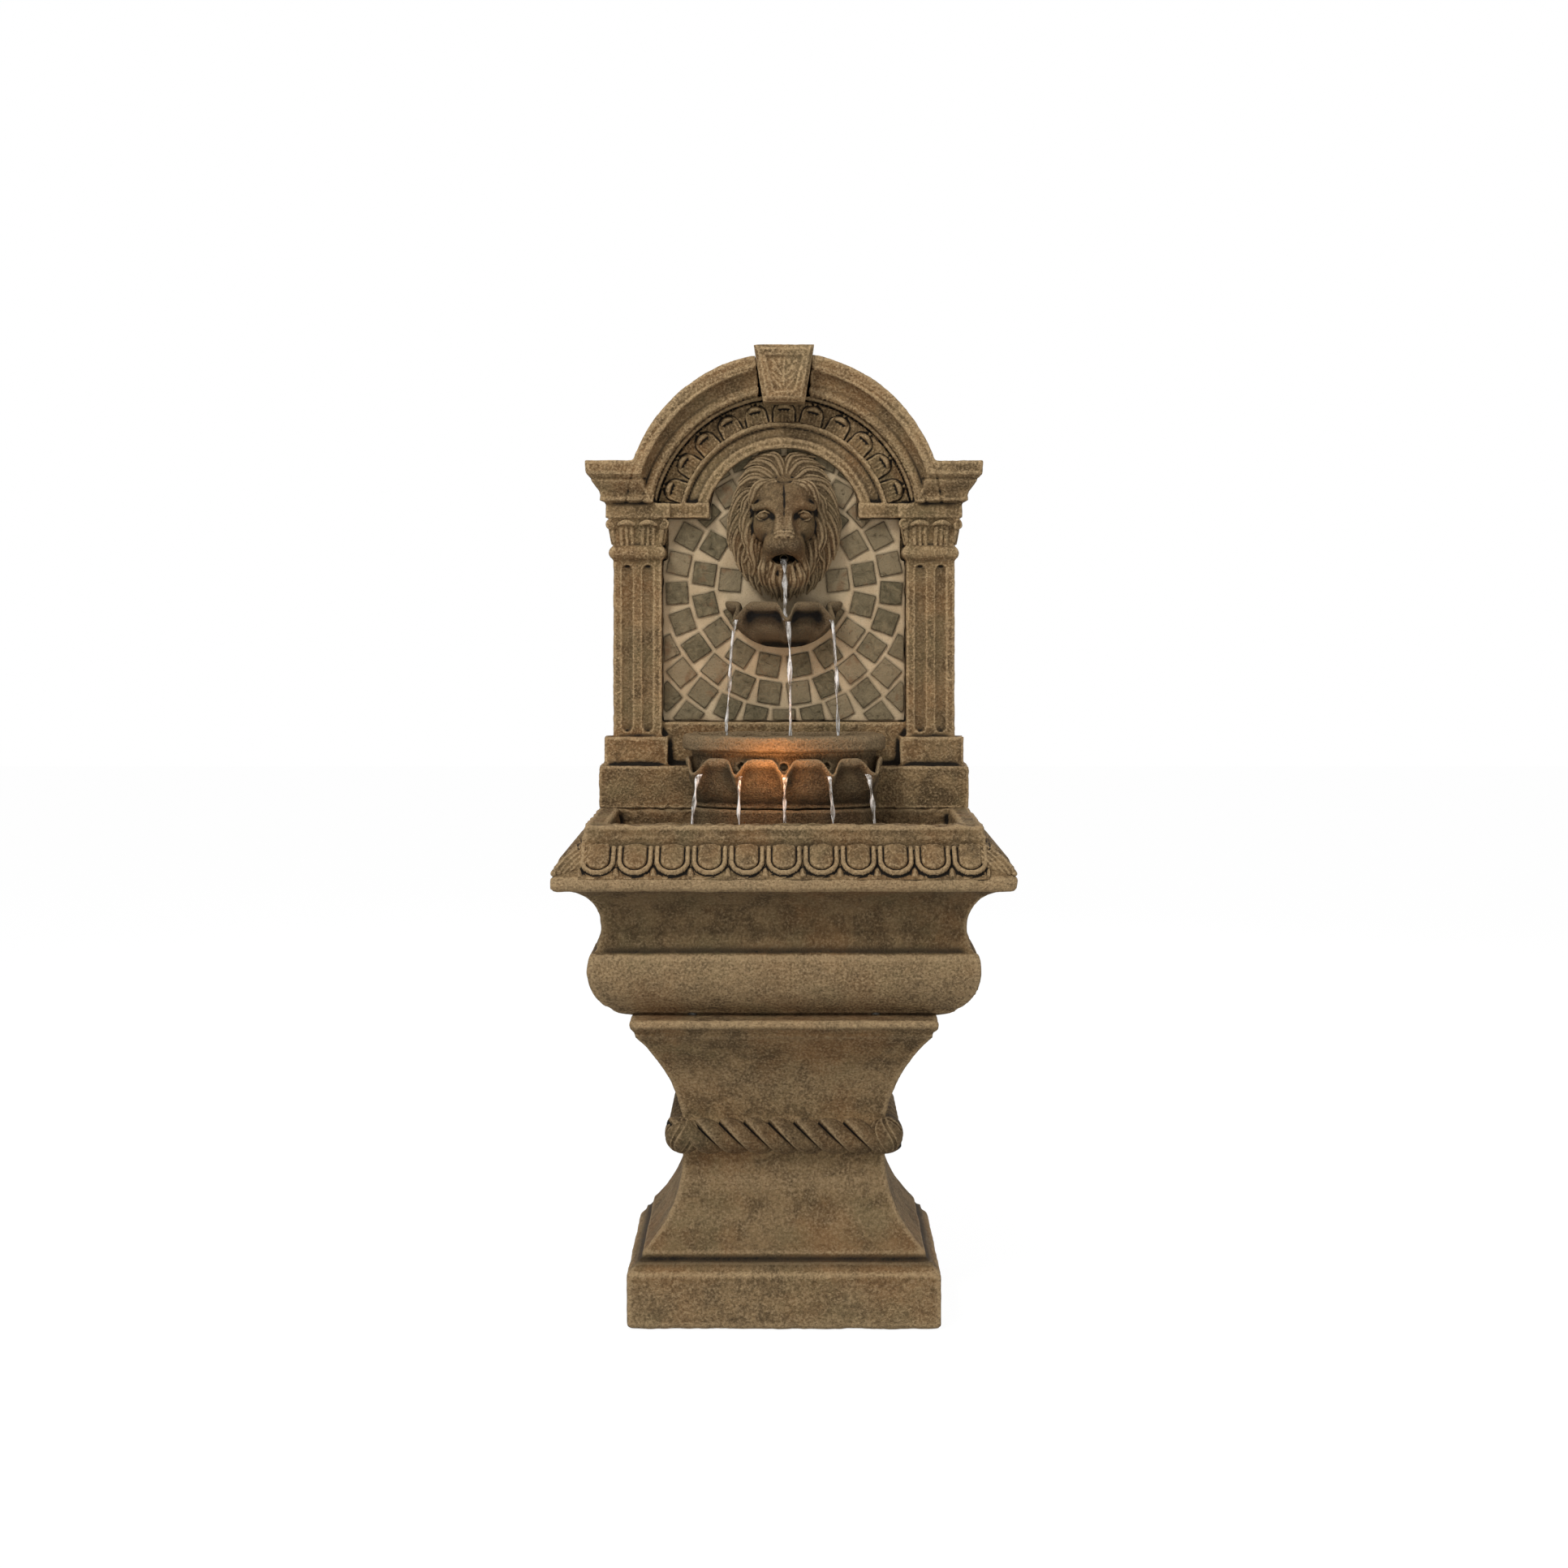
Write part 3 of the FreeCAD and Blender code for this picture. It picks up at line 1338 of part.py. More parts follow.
def build_spill_bowl():
    """Scalloped gutter bowl that hangs round the drum and pours at five spouts."""
    low = drum_z + spill_foot_height
    high = low + spill_height
    inner_foot = spill_foot_gap + 0.2
    outer = bow_loft(spill_foot_gap + spill_wall, spill_rim_reach, low, high)
    core = bow_prism(running_gap, panel_front + 1, low - 1, high + 1)
    gutter = bow_loft(inner_foot, spill_rim_reach - spill_wall, low + spill_height * 0.45, high + 0.5)
    body = outer
    channels = []
    for x in spill_positions:
        point, out = bow_point(x, spill_rim_reach)
        spout, channel = spout_at(point, out, high, spill_notch_width, spill_spout_reach, spill_notch_depth, 3.0)
        body = body.fuse(spout)
        channels.append(channel)
    body = body.cut(gutter).cut(Part.makeCompound(channels)).cut(core)
    return body.removeSplitter()


def build_pump_cover():
    """Bowed stone cover that stands on the trough's floor in front of the pump and slides forward."""
    low = floor_z + running_gap
    high = drum_z - cover_top_gap
    back = panel_front - running_gap
    wall = bow_prism(-cover_inset, back, low, high)
    inside = bow_prism(-cover_inset - cover_wall, back + 1, low - 1, high + 1)
    body = wall.cut(inside)
    slots = []
    span = 2 * (drum_half_width - drum_corner_radius)
    for k in range(cover_slot_count):
        x = span * (k / (cover_slot_count - 1) - 0.5)
        half = cover_slot_width / 2
        outline = [
            (x - half, low - 1),
            (x - half, low + cover_slot_height - half),
            ((x, low + cover_slot_height), (x + half, low + cover_slot_height - half)),
            (x + half, low - 1),
        ]
        slots.append(plate_outline(outline, drum_front_y - overcut).extrude(Vector(0, 2 * overcut + cover_wall + 10, 0)))
    return body.cut(Part.makeCompound(slots)).removeSplitter()


def rounded_block(width, y0, y1, z0, z1, radius):
    block = box(-width / 2, width / 2, y0, y1, z0, z1)
    long_edges = [e for e in block.Edges if e.BoundBox.YLength > 0.9 * (y1 - y0)]
    return block.makeFillet(radius, long_edges)


def axis_point(y):
    return Vector(0, y, pump_axis_z)


def build_pump_body():
    base = pump_top - pump_height
    body = rounded_block(pump_width, pump_face, pump_back, base, pump_top, pump_corner_radius)
    bore_end = pump_face + rotor_length + 2.0
    bore = cylinder(rotor_radius + rotor_gap, axis_point(pump_face - 1), axis_point(bore_end))
    seat = cylinder(pump_shaft_radius, axis_point(bore_end - 1), axis_point(bore_end + 4.0))
    return body.cut(bore).cut(seat)


def build_pump_strainer():
    """Front housing with the pumping chamber, intake slots and the outlet passage."""
    base = pump_top - pump_height
    body = rounded_block(pump_width, pump_front, pump_face, base, pump_top, pump_corner_radius)
    chamber = cylinder(volute_radius, axis_point(pump_front + pump_face_wall), axis_point(pump_face + 1))
    seat = cylinder(pump_shaft_radius, axis_point(pump_front + pump_face_wall - 3.0), axis_point(pump_face))
    stem = cylinder(dial_stem_radius + shaft_gap, axis_point(pump_front - 1), axis_point(pump_front + 4.0))
    outlet = cylinder(nozzle_bore, Vector(0, hose_y, pump_axis_z), Vector(0, hose_y, pump_top + 1))
    slots = []
    pitch = 2 * volute_radius / (strainer_slot_count + 1)
    for k in range(strainer_slot_count):
        x = pitch * (k - (strainer_slot_count - 1) / 2)
        reach = math.sqrt(volute_radius**2 - x**2) * 0.8
        half = strainer_slot_width / 2
        for side in (-1, 1):
            near = dial_radius + 2.0
            if reach > near + 1.5:
                z0, z1 = sorted((pump_axis_z + side * near, pump_axis_z + side * reach))
                slots.append(box(x - half, x + half, pump_front - 1, pump_front + pump_face_wall + 1, z0, z1))
    body = body.cut(chamber).cut(outlet).cut(Part.makeCompound([seat, stem]))
    return body.cut(Part.makeCompound(slots))


def build_pump_impeller():
    """Magnet rotor with straight blades at its front, on the ceramic shaft."""
    chamber_start = pump_front + pump_face_wall
    gap = 1.2
    rotor = cylinder(rotor_radius, axis_point(pump_face + gap), axis_point(pump_face + rotor_length))
    disc_end = pump_face + gap
    hub = cylinder(pump_shaft_radius * 2.2, axis_point(chamber_start + gap), axis_point(disc_end))
    blades = []
    for k in range(impeller_blade_count):
        half = impeller_blade_thickness / 2
        blade_end = pump_face - gap / 2
        blade = box(-half, half, chamber_start + gap, blade_end, pump_axis_z, pump_axis_z + impeller_radius)
        blade.rotate(axis_point(0), Vector(0, 1, 0), 360.0 / impeller_blade_count * k)
        blades.append(blade)
    body = rotor.fuse([hub] + blades)
    bore = cylinder(pump_shaft_radius + shaft_gap, axis_point(chamber_start), axis_point(pump_back))
    return body.cut(bore).removeSplitter()


def build_pump_shaft():
    start = pump_front + pump_face_wall - 2.8
    end = pump_face + rotor_length + 5.8
    return cylinder(pump_shaft_radius, axis_point(start), axis_point(end))


def build_pump_flow_dial():
    """Flow dial on the pump's front, with a raised grip and a stem in the housing."""
    face = pump_front - running_gap
    disc = cylinder(dial_radius, axis_point(face - dial_thickness), axis_point(face))
    grip = box(
        -1.6,
        1.6,
        face - dial_thickness - 3.0,
        face - dial_thickness,
        pump_axis_z - dial_radius * 0.75,
        pump_axis_z + dial_radius * 0.95,
    )
    stem = cylinder(dial_stem_radius, axis_point(face), axis_point(pump_front + 3.6))
    return disc.fuse([grip, stem])


def build_pump_outlet():
    flange = cylinder(nozzle_flange_radius, Vector(0, hose_y, pump_top), Vector(0, hose_y, pump_top + 3.0))
    stem = cylinder(nozzle_radius, Vector(0, hose_y, pump_top), Vector(0, hose_y, pump_top + nozzle_height))
    bore = cylinder(nozzle_bore, Vector(0, hose_y, pump_top - 1), Vector(0, hose_y, pump_top + nozzle_height + 1))
    return flange.fuse(stem).cut(bore).removeSplitter()


def build_pump_feet():
    feet = []
    for x in (-pump_width / 3, pump_width / 3):
        for y in (pump_front + pump_foot_radius, pump_back - pump_foot_radius):
            feet.append(Part.makeCone(pump_foot_radius, pump_foot_radius * 0.6, pump_foot_height, Vector(x, y, floor_z)))
    return feet


def hose_path(points, bend):
    """Straight runs joined by tangent arcs."""
    edges = []
    start = points[0]
    for before, corner, after in zip(points, points[1:], points[2:]):
        towards = (before - corner).normalize()
        away = (after - corner).normalize()
        entry = corner + towards * bend
        leave = corner + away * bend
        centre = corner + towards * bend + away * bend
        middle = centre + (corner - centre).normalize() * bend
        edges.append(Part.makeLine(start, entry))
        edges.append(Part.Arc(entry, middle, leave).toShape())
        start = leave
    edges.append(Part.makeLine(start, points[-1]))
    return Part.Wire(edges)


def swept_tube(path, outer, inner):
    start = path.Edges[0].Vertexes[0].Point
    along = path.Edges[0].tangentAt(path.Edges[0].FirstParameter)
    solids = []
    for radius in (outer, inner):
        ring = Part.Wire(Part.makeCircle(radius, start, along))
        solids.append(path.makePipeShell([ring], True, False))
    return solids[0].cut(solids[1])


def elbow_foot_z():
    return mouth_z - elbow_bend - elbow_socket_depth - 8.0


def build_riser_hose():
    """Clear hose from the pump through the divider and up inside the panel to the elbow."""
    low = pump_top + 3.0 + running_gap
    pass_z = rim_z - hose_pass_drop
    high = elbow_foot_z() + elbow_socket_depth - running_gap
    points = [
        Vector(0, hose_y, low),
        Vector(0, hose_y, pass_z),
        Vector(0, hose_rise_y, pass_z),
        Vector(0, hose_rise_y, high),
    ]
    return swept_tube(hose_path(points, hose_bend), hose_radius, hose_bore)


def build_hose_clamps():
    rings = []
    inner = hose_radius + fit_gap
    outer = inner + clamp_thickness
    nozzle_middle = pump_top + nozzle_height * 0.55
    elbow_middle = elbow_foot_z() - clamp_width
    for y, z in ((hose_y, nozzle_middle), (hose_rise_y, elbow_middle)):
        low = Vector(0, y, z - clamp_width / 2)
        high = Vector(0, y, z + clamp_width / 2)
        lug = box(outer - 1.0, outer + 7.0, y - 4.0, y + 4.0, z - clamp_width / 2, z + clamp_width / 2)
        band = cylinder(outer, low, high).fuse(lug).cut(cylinder(inner, low - Vector(0, 0, 1), high + Vector(0, 0, 1)))
        rings.append(band)
    return rings


def build_spout_elbow():
    """Right-angled fitting behind the panel: hose socket below, spout socket in front."""
    foot = elbow_foot_z()
    nose = bed_back + 1.0
    points = [Vector(0, hose_rise_y, foot), Vector(0, hose_rise_y, mouth_z), Vector(0, nose, mouth_z)]
    body = swept_tube(hose_path(points, elbow_bend), elbow_radius, spout_bore)
    socket_top = foot + elbow_socket_depth
    socket = cylinder(hose_radius + fit_gap, Vector(0, hose_rise_y, foot - 1), Vector(0, hose_rise_y, socket_top))
    seat = cylinder(spout_radius + fit_gap, Vector(0, nose - 1, mouth_z), Vector(0, nose + 10.0, mouth_z))
    return body.cut(socket).cut(seat)


def build_spout_pipe():
    start = Vector(0, bed_back + 1.0 + 10.0 - running_gap, mouth_z)
    end = Vector(0, bed_front - spout_reach, mouth_z)
    return tube(spout_radius, spout_bore, start, end)


def drain_point(y):
    return Vector(drain_x, y, floor_z + drain_above_floor)


def build_drain_bush():
    end = back_y - drain_flange_thickness - 1.0
    return tube(drain_bush_radius, drain_bush_bore, drain_point(end - drain_bush_length), drain_point(end))


def build_drain_plug():
    """Rubber plug pressed into the drain from behind."""
    seat = back_y - drain_flange_thickness - 1.0 + running_gap
    flange = cylinder(drain_flange_radius, drain_point(seat), drain_point(seat + drain_flange_thickness))
    stem_end = seat - drain_bush_length + 4.0
    stem = cylinder(drain_plug_radius, drain_point(stem_end + 3.0), drain_point(seat))
    tip = Part.makeCone(drain_plug_radius - 2.0, drain_plug_radius, 3.0, drain_point(stem_end), Vector(0, 1, 0))
    return flange.fuse([stem, tip]).removeSplitter()


def light_local(shape):
    """Places a light piece drawn upright about its pivot at the origin."""
    shape.rotate(Vector(0, 0, 0), Vector(1, 0, 0), -light_tilt)
    shape.translate(Vector(light_x, light_y, light_pivot_z))
    return shape


def build_light_body():
    half = light_length / 2
    cup = Part.makeCylinder(light_radius, light_length, Vector(0, 0, -half))
    inside = Part.makeCylinder(light_radius - light_wall, light_length, Vector(0, 0, -half + 2 * light_wall))
    body = cup.cut(inside)
    for side in (-1, 1):
        edge = Vector(side * (light_radius + 1.0), 0, 0)
        deep = Vector(side * (light_radius - light_wall - 1.0), 0, 0)
        body = body.cut(cylinder(pivot_screw_radius + shaft_gap, deep, edge))
    return light_local(body)


def build_light_led():
    half = light_length / 2
    board = Part.makeCylinder(light_radius - light_wall - 0.3, 3.0, Vector(0, 0, -half + 2 * light_wall))
    dome = Part.makeCylinder(light_led_radius, 2.0, Vector(0, 0, -half + 2 * light_wall + 3.0))
    return light_local(board.fuse(dome))


def build_light_lens():
    half = light_length / 2
    lens = Part.makeCylinder(light_radius - 0.2, light_lens_thickness, Vector(0, 0, half))
    return light_local(lens)


def build_light_bezel():
    half = light_length / 2
    outer = light_radius + light_bezel_width
    skirt = 4.0
    lip = 1.5
    low = Vector(0, 0, half - skirt)
    ring = Part.makeCylinder(outer, skirt + light_lens_thickness + lip, low)
    pocket = Part.makeCylinder(light_radius + fit_gap, skirt + light_lens_thickness, low)
    window = Part.makeCylinder(light_radius - light_wall, light_length, low)
    return light_local(ring.cut(pocket).cut(window))


def bracket_inner():
    return light_radius + light_bezel_width + bracket_side_gap


def build_light_bracket():
    inner = bracket_inner()
    outer = inner + bracket_thickness
    half = bracket_width / 2
    base_z = floor_z + light_foot_height
    top = light_pivot_z + half
    body = box(light_x - outer, light_x + outer, light_y - half, light_y + half, base_z, base_z + bracket_thickness)
    for side in (-1, 1):
        x0, x1 = sorted((light_x + side * inner, light_x + side * outer))
        arm = box(x0, x1, light_y - half, light_y + half, base_z, top)
        hole = cylinder(
            pivot_screw_radius + shaft_gap,
            Vector(x0 - 1, light_y, light_pivot_z),
            Vector(x1 + 1, light_y, light_pivot_z),
        )
        body = body.fuse(arm).cut(hole)
    return body.removeSplitter()


def build_light_pivot_screws():
    screws = []
    inner = light_radius - light_wall - 0.5
    outer = bracket_inner() + bracket_thickness
    for side in (-1, 1):
        start = Vector(light_x + side * inner, light_y, light_pivot_z)
        seat = Vector(light_x + side * outer, light_y, light_pivot_z)
        end = seat + Vector(side * pivot_head_thickness, 0, 0)
        screws.append(cylinder(pivot_screw_radius, start, seat).fuse(cylinder(pivot_head_radius, seat, end)))
    return screws


def build_light_foot():
    """Suction cup under the light's bracket."""
    return Part.makeCone(light_foot_radius, light_foot_radius * 0.55, light_foot_height, Vector(light_x, light_y, floor_z))


def write_part(name, shape):
    if isinstance(shape, list):
        shape = shape[0] if len(shape) == 1 else Part.makeCompound(shape)
    if not shape.isValid():
        print("not valid:", name)
    shape.exportStep(os.path.join("parts", name + ".step"))
    box_size = shape.BoundBox
    print(f"{name:22s} solids {len(shape.Solids):3d} volume {shape.Volume / 1000:9.1f} cm3 "
          f"z {box_size.ZMin:7.1f} to {box_size.ZMax:7.1f}")


PIECES = {
    "pedestal": build_pedestal,
    "locating_dowels": build_locating_dowels,
    "basin": build_basin,
    "basin_back": build_basin_back,
    "panel_bolts": build_panel_bolts,
    "back_panel": build_back_panel,
    "keystone": build_keystone,
    "rear_cover": build_rear_cover,
    "rear_cover_screws": build_rear_cover_screws,
    "mosaic_bed": build_mosaic_bed,
    "slate_tiles": build_slate_tiles,
    "lion_mask": build_lion_mask,
    "upper_bowl": build_upper_bowl,
    "collector_drum": build_collector_drum,
    "spill_bowl": build_spill_bowl,
    "pump_cover": build_pump_cover,
    "pump_body": build_pump_body,
    "pump_strainer": build_pump_strainer,
    "pump_impeller": build_pump_impeller,
    "pump_shaft": build_pump_shaft,
    "pump_flow_dial": build_pump_flow_dial,
    "pump_outlet": build_pump_outlet,
    "pump_feet": build_pump_feet,
    "riser_hose": build_riser_hose,
    "hose_clamps": build_hose_clamps,
    "spout_elbow": build_spout_elbow,
    "spout_pipe": build_spout_pipe,
    "drain_bush": build_drain_bush,
    "drain_plug": build_drain_plug,
    "light_body": build_light_body,
    "light_led": build_light_led,
    "light_lens": build_light_lens,
    "light_bezel": build_light_bezel,
    "light_bracket": build_light_bracket,
    "light_pivot_screws": build_light_pivot_screws,
    "light_foot": build_light_foot,
    "cord_grommet": build_cord_grommet,
}


def main():
    os.makedirs("parts", exist_ok=True)
    for name, build in PIECES.items():
        write_part(name, build())


main()
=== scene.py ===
import math
import bmesh
import bpy
import numpy as np
import openvdb as vdb
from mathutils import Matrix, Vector


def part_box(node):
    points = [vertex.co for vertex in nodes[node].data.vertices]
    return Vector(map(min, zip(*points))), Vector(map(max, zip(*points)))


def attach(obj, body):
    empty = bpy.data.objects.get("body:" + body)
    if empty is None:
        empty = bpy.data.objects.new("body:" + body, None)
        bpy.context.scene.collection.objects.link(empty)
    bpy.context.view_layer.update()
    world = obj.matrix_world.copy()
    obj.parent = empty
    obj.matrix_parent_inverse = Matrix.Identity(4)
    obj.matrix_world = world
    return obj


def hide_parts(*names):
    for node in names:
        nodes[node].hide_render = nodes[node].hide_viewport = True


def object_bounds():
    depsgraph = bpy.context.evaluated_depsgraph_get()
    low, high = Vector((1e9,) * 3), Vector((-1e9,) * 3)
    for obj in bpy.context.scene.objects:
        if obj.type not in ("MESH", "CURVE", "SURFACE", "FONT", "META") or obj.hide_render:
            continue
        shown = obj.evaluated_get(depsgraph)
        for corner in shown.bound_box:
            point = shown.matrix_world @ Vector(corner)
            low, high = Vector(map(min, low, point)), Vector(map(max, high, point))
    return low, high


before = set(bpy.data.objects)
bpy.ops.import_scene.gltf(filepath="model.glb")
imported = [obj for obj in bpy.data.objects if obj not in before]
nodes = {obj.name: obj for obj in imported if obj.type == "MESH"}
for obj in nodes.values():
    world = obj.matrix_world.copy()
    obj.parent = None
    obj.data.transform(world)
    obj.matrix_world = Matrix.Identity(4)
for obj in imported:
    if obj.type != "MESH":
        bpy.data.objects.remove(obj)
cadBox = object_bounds()
scene = bpy.context.scene
boxLow = np.array(cadBox[0]) * 1000
boxHigh = np.array(cadBox[1]) * 1000
print("frame loaded:", len(nodes), "nodes")


# shader maths

def put(tree, value, socket):    # links a socket, or gives it its number
    if isinstance(value, Val):
        tree.links.new(value.socket, socket)
    else:
        socket.default_value = value


class Val:    # a socket that takes part in sums
    def __init__(self, tree, socket):
        self.tree, self.socket = tree, socket

    def maths(self, kind, a, b):
        node = self.tree.nodes.new("ShaderNodeMath")
        node.operation = kind
        put(self.tree, a, node.inputs[0])
        put(self.tree, b, node.inputs[1])
        return Val(self.tree, node.outputs[0])

    def __add__(self, other):
        return self.maths("ADD", self, other)

    def __radd__(self, other):
        return self.maths("ADD", other, self)

    def __sub__(self, other):
        return self.maths("SUBTRACT", self, other)

    def __rsub__(self, other):
        return self.maths("SUBTRACT", other, self)

    def __mul__(self, other):
        return self.maths("MULTIPLY", self, other)

    def withClamp(self):
        self.socket.node.use_clamp = True
        return self

    def clipped(self):
        return (self + 0.0).withClamp()


def wire(tree, kind, settings, out, links):    # adds one node: its settings first, then its sockets
    node = tree.nodes.new(kind)
    for key, value in (settings or {}).items():
        setattr(node, key, value)
    for key, value in links.items():
        numbered = key[0] == "i" and key[1:].isdigit()    # i6 is the input in place 6
        put(tree, value, node.inputs[int(key[1:]) if numbered else key.replace("_", " ")])
    return Val(tree, node.outputs[out])


class Finish:    # one material being wired up
    def __init__(self, name, **constants):
        self.material = bpy.data.materials.new(name)
        self.material.use_nodes = True
        self.tree = self.material.node_tree
        self.shader = self.tree.nodes["Principled BSDF"]
        for key, value in constants.items():
            self.shader.inputs[key.replace("_", " ")].default_value = value
        self.where = self.node("ShaderNodeTexCoord", out="Object")

    def node(self, kind, settings=None, out=0, **links):
        return wire(self.tree, kind, settings, out, links)

    def noise(self, scale, detail=3.0, rough=0.55, where=None, warp=0.0):
        return self.node("ShaderNodeTexNoise", out="Fac", Vector=where or self.where, Scale=scale,
                         Detail=detail, Roughness=rough, Distortion=warp)

    def cells(self, scale):
        return self.node("ShaderNodeTexVoronoi", out="Distance", Vector=self.where, Scale=scale)

    def drawn(self, share):    # places for a texture that is drawn out along the height
        return self.node("ShaderNodeMapping", Vector=self.where, Scale=(1, 1, share))

    def attribute(self, name):
        return self.node("ShaderNodeAttribute", {"attribute_name": name}, out="Fac")

    def step(self, value, low, high):
        smooth = {"interpolation_type": "SMOOTHSTEP"}
        return self.node("ShaderNodeMapRange", smooth, i0=value, i1=low, i2=high)

    def mix(self, share, a, b):
        a, b = (colour if isinstance(colour, Val) else (*colour, 1) for colour in (a, b))
        colours = {"data_type": "RGBA", "clamp_factor": True}
        return self.node("ShaderNodeMix", colours, out=2, i0=share, i6=a, i7=b)

    def bump(self, height, distance, strength):
        return self.node("ShaderNodeBump", out="Normal", Height=height, Distance=distance, Strength=strength)

    def feed(self, **links):
        for key, value in links.items():
            self.tree.links.new(value.socket, self.shader.inputs[key.replace("_", " ")])
        return self.material


def tone(red, green, blue):    # a colour as seen, 0 to 255, in the renderer's linear light
    shares = (red / 255, green / 255, blue / 255)
    return tuple(c / 12.92 if c < 0.04045 else ((c + 0.055) / 1.055) ** 2.4 for c in shares)


# signed distance fields: millimetres, negative inside

def boxBlur(values, reach, axis):
    moved = np.moveaxis(values, axis, 0)
    wide = [(reach + 1, reach)] + [(0, 0)] * (values.ndim - 1)
    total = np.cumsum(np.pad(moved, wide, mode="edge"), axis=0, dtype=np.float64)
    span = 2 * reach + 1
    return np.moveaxis(((total[span:] - total[:-span]) / span).astype(np.float32), 0, axis)


def softened(values, reach):    # two passes of the blur
    for _ in range(2):
        for axis in range(values.ndim):
            values = boxBlur(values, reach, axis)
    return values


def smoothMin(a, b, blend):
    share = np.clip(0.5 + 0.5 * (b - a) / blend, 0, 1)
    return b + (a - b) * share - blend * share * (1 - share)


def rise(value, low, high):
    share = np.clip((value - low) / (high - low), 0, 1)
    return share * share * (3 - 2 * share)


def within(value, low, high, soft, amount=1.0):    # amount between low and high, fading at both
    return amount * rise(value, low - soft, low + soft) * rise(-value, -high - soft, -high + soft)


class Field:
    def __init__(self, low, high, voxel):
        self.voxel, self.band = voxel, 6 * voxel    # distances are kept this far from the surface
        self.first = np.floor(np.array(low) / voxel).astype(int)
        count = np.ceil(np.array(high) / voxel).astype(int) - self.first + 1
        self.axes = [((self.first[i] + np.arange(count[i])) * voxel).astype(np.float32) for i in range(3)]
        self.value = np.full(count, self.band, np.float32)

    def takeNode(self, name):
        points, triangles = trianglesOf(nodes[name])
        place = vdb.createLinearTransform(voxelSize=self.voxel)
        grid = vdb.FloatGrid.createLevelSetFromPolygons(points, triangles=triangles, transform=place,
                                                        halfWidth=self.band / self.voxel)
        grid.copyToArray(self.value, ijk=tuple(int(i) for i in self.first))
        return self

    def window(self, low, high):
        cut = []
        for axis, a, b in zip(self.axes, low, high):
            cut.append(slice(int(np.searchsorted(axis, a)), int(np.searchsorted(axis, b))))
        x, y, z = (self.axes[i][cut[i]] for i in range(3))
        return tuple(cut), x[:, None, None], y[None, :, None], z[None, None, :]

    def ball(self, centre, radii, blend, carve=False):    # adds or carves an ellipsoid
        centre, radii = np.array(centre, float), np.array(radii, float)
        reach = radii + blend + self.band
        cut, x, y, z = self.window(centre - reach, centre + reach)
        qx, qy, qz = (x - centre[0]) / radii[0], (y - centre[1]) / radii[1], (z - centre[2]) / radii[2]
        size = np.sqrt(qx * qx + qy * qy + qz * qz) + 1e-6
        slope = np.sqrt((qx / radii[0]) ** 2 + (qy / radii[1]) ** 2 + (qz / radii[2]) ** 2) + 1e-6
        self.merge(cut, np.clip(size * (size - 1) / slope, -self.band * 2, self.band * 2), blend, carve)

    def strand(self, points, radii, blend, carve=False):    # adds or carves a tapering round strand
        points, radii = np.array(points, float), np.broadcast_to(np.array(radii, float), len(points))
        reach = radii.max() + blend + self.voxel * 3
        cut, x, y, z = self.window(points.min(0) - reach, points.max(0) + reach)
        near = None
        for a, b, ra, rb in zip(points[:-1], points[1:], radii[:-1], radii[1:]):
            run = b - a
            along = ((x - a[0]) * run[0] + (y - a[1]) * run[1] + (z - a[2]) * run[2]) / max(run @ run, 1e-9)
            along = np.clip(along, 0, 1)
            away = np.sqrt((x - a[0] - along * run[0]) ** 2 + (y - a[1] - along * run[1]) ** 2
                           + (z - a[2] - along * run[2]) ** 2) - (ra + (rb - ra) * along)
            near = away if near is None else np.minimum(near, away)
        self.merge(cut, near.astype(np.float32), blend, carve)

    def merge(self, cut, shape, blend=0, carve=False):
        old = self.value[cut]
        if carve:
            self.value[cut] = -smoothMin(-old, shape, blend) if blend else np.maximum(old, -shape)
        else:
            self.value[cut] = smoothMin(old, shape, blend) if blend else np.minimum(old, shape)

    def trim(self, cut, shape):    # keeps only what lies inside the shape
        self.value[cut] = np.maximum(self.value[cut], shape)

    def sample(self, values, points):
        at = points / self.voxel - self.first
        at = np.clip(at, 0, np.array(values.shape) - 1.001)
        cell = at.astype(int)
        part = (at - cell).astype(np.float32)
        total = 0
        for corner in range(8):
            step = [(corner >> i) & 1 for i in range(3)]
            weight = 1
            for i in range(3):
                weight = weight * (part[:, i] if step[i] else 1 - part[:, i])
            total = total + weight * values[cell[:, 0] + step[0], cell[:, 1] + step[1], cell[:, 2] + step[2]]
        return total

    def polygons(self):
        grid = vdb.FloatGrid(self.band)
        grid.transform = vdb.createLinearTransform(voxelSize=self.voxel)
        grid.copyFromArray(np.clip(self.value, -self.band, self.band), ijk=tuple(int(i) for i in self.first))
        grid.gridClass = vdb.GridClass.LEVEL_SET
        return grid.convertToPolygons(0.0, 0.0)


def trianglesOf(thing):
    mesh = thing.data
    mesh.calc_loop_triangles()
    points = np.empty(len(mesh.vertices) * 3, np.float32)
    mesh.vertices.foreach_get("co", points)
    triangles = np.empty(len(mesh.loop_triangles) * 3, np.int32)
    mesh.loop_triangles.foreach_get("vertices", triangles)
    return points.reshape(-1, 3) * 1000, triangles.reshape(-1, 3).astype(np.uint32)


def hashed(i, j, k, seed):    # a steady random number from -1 to 1 for each cell
    n = (i * 73856093) ^ (j * 19349663) ^ (k * 83492791) ^ (seed * 2654435)
    n = (n ^ (n >> 13)) * 1274126177 & 0x7FFFFFFF
    return ((n ^ (n >> 16)) & 0xFFFF) / 32767.5 - 1


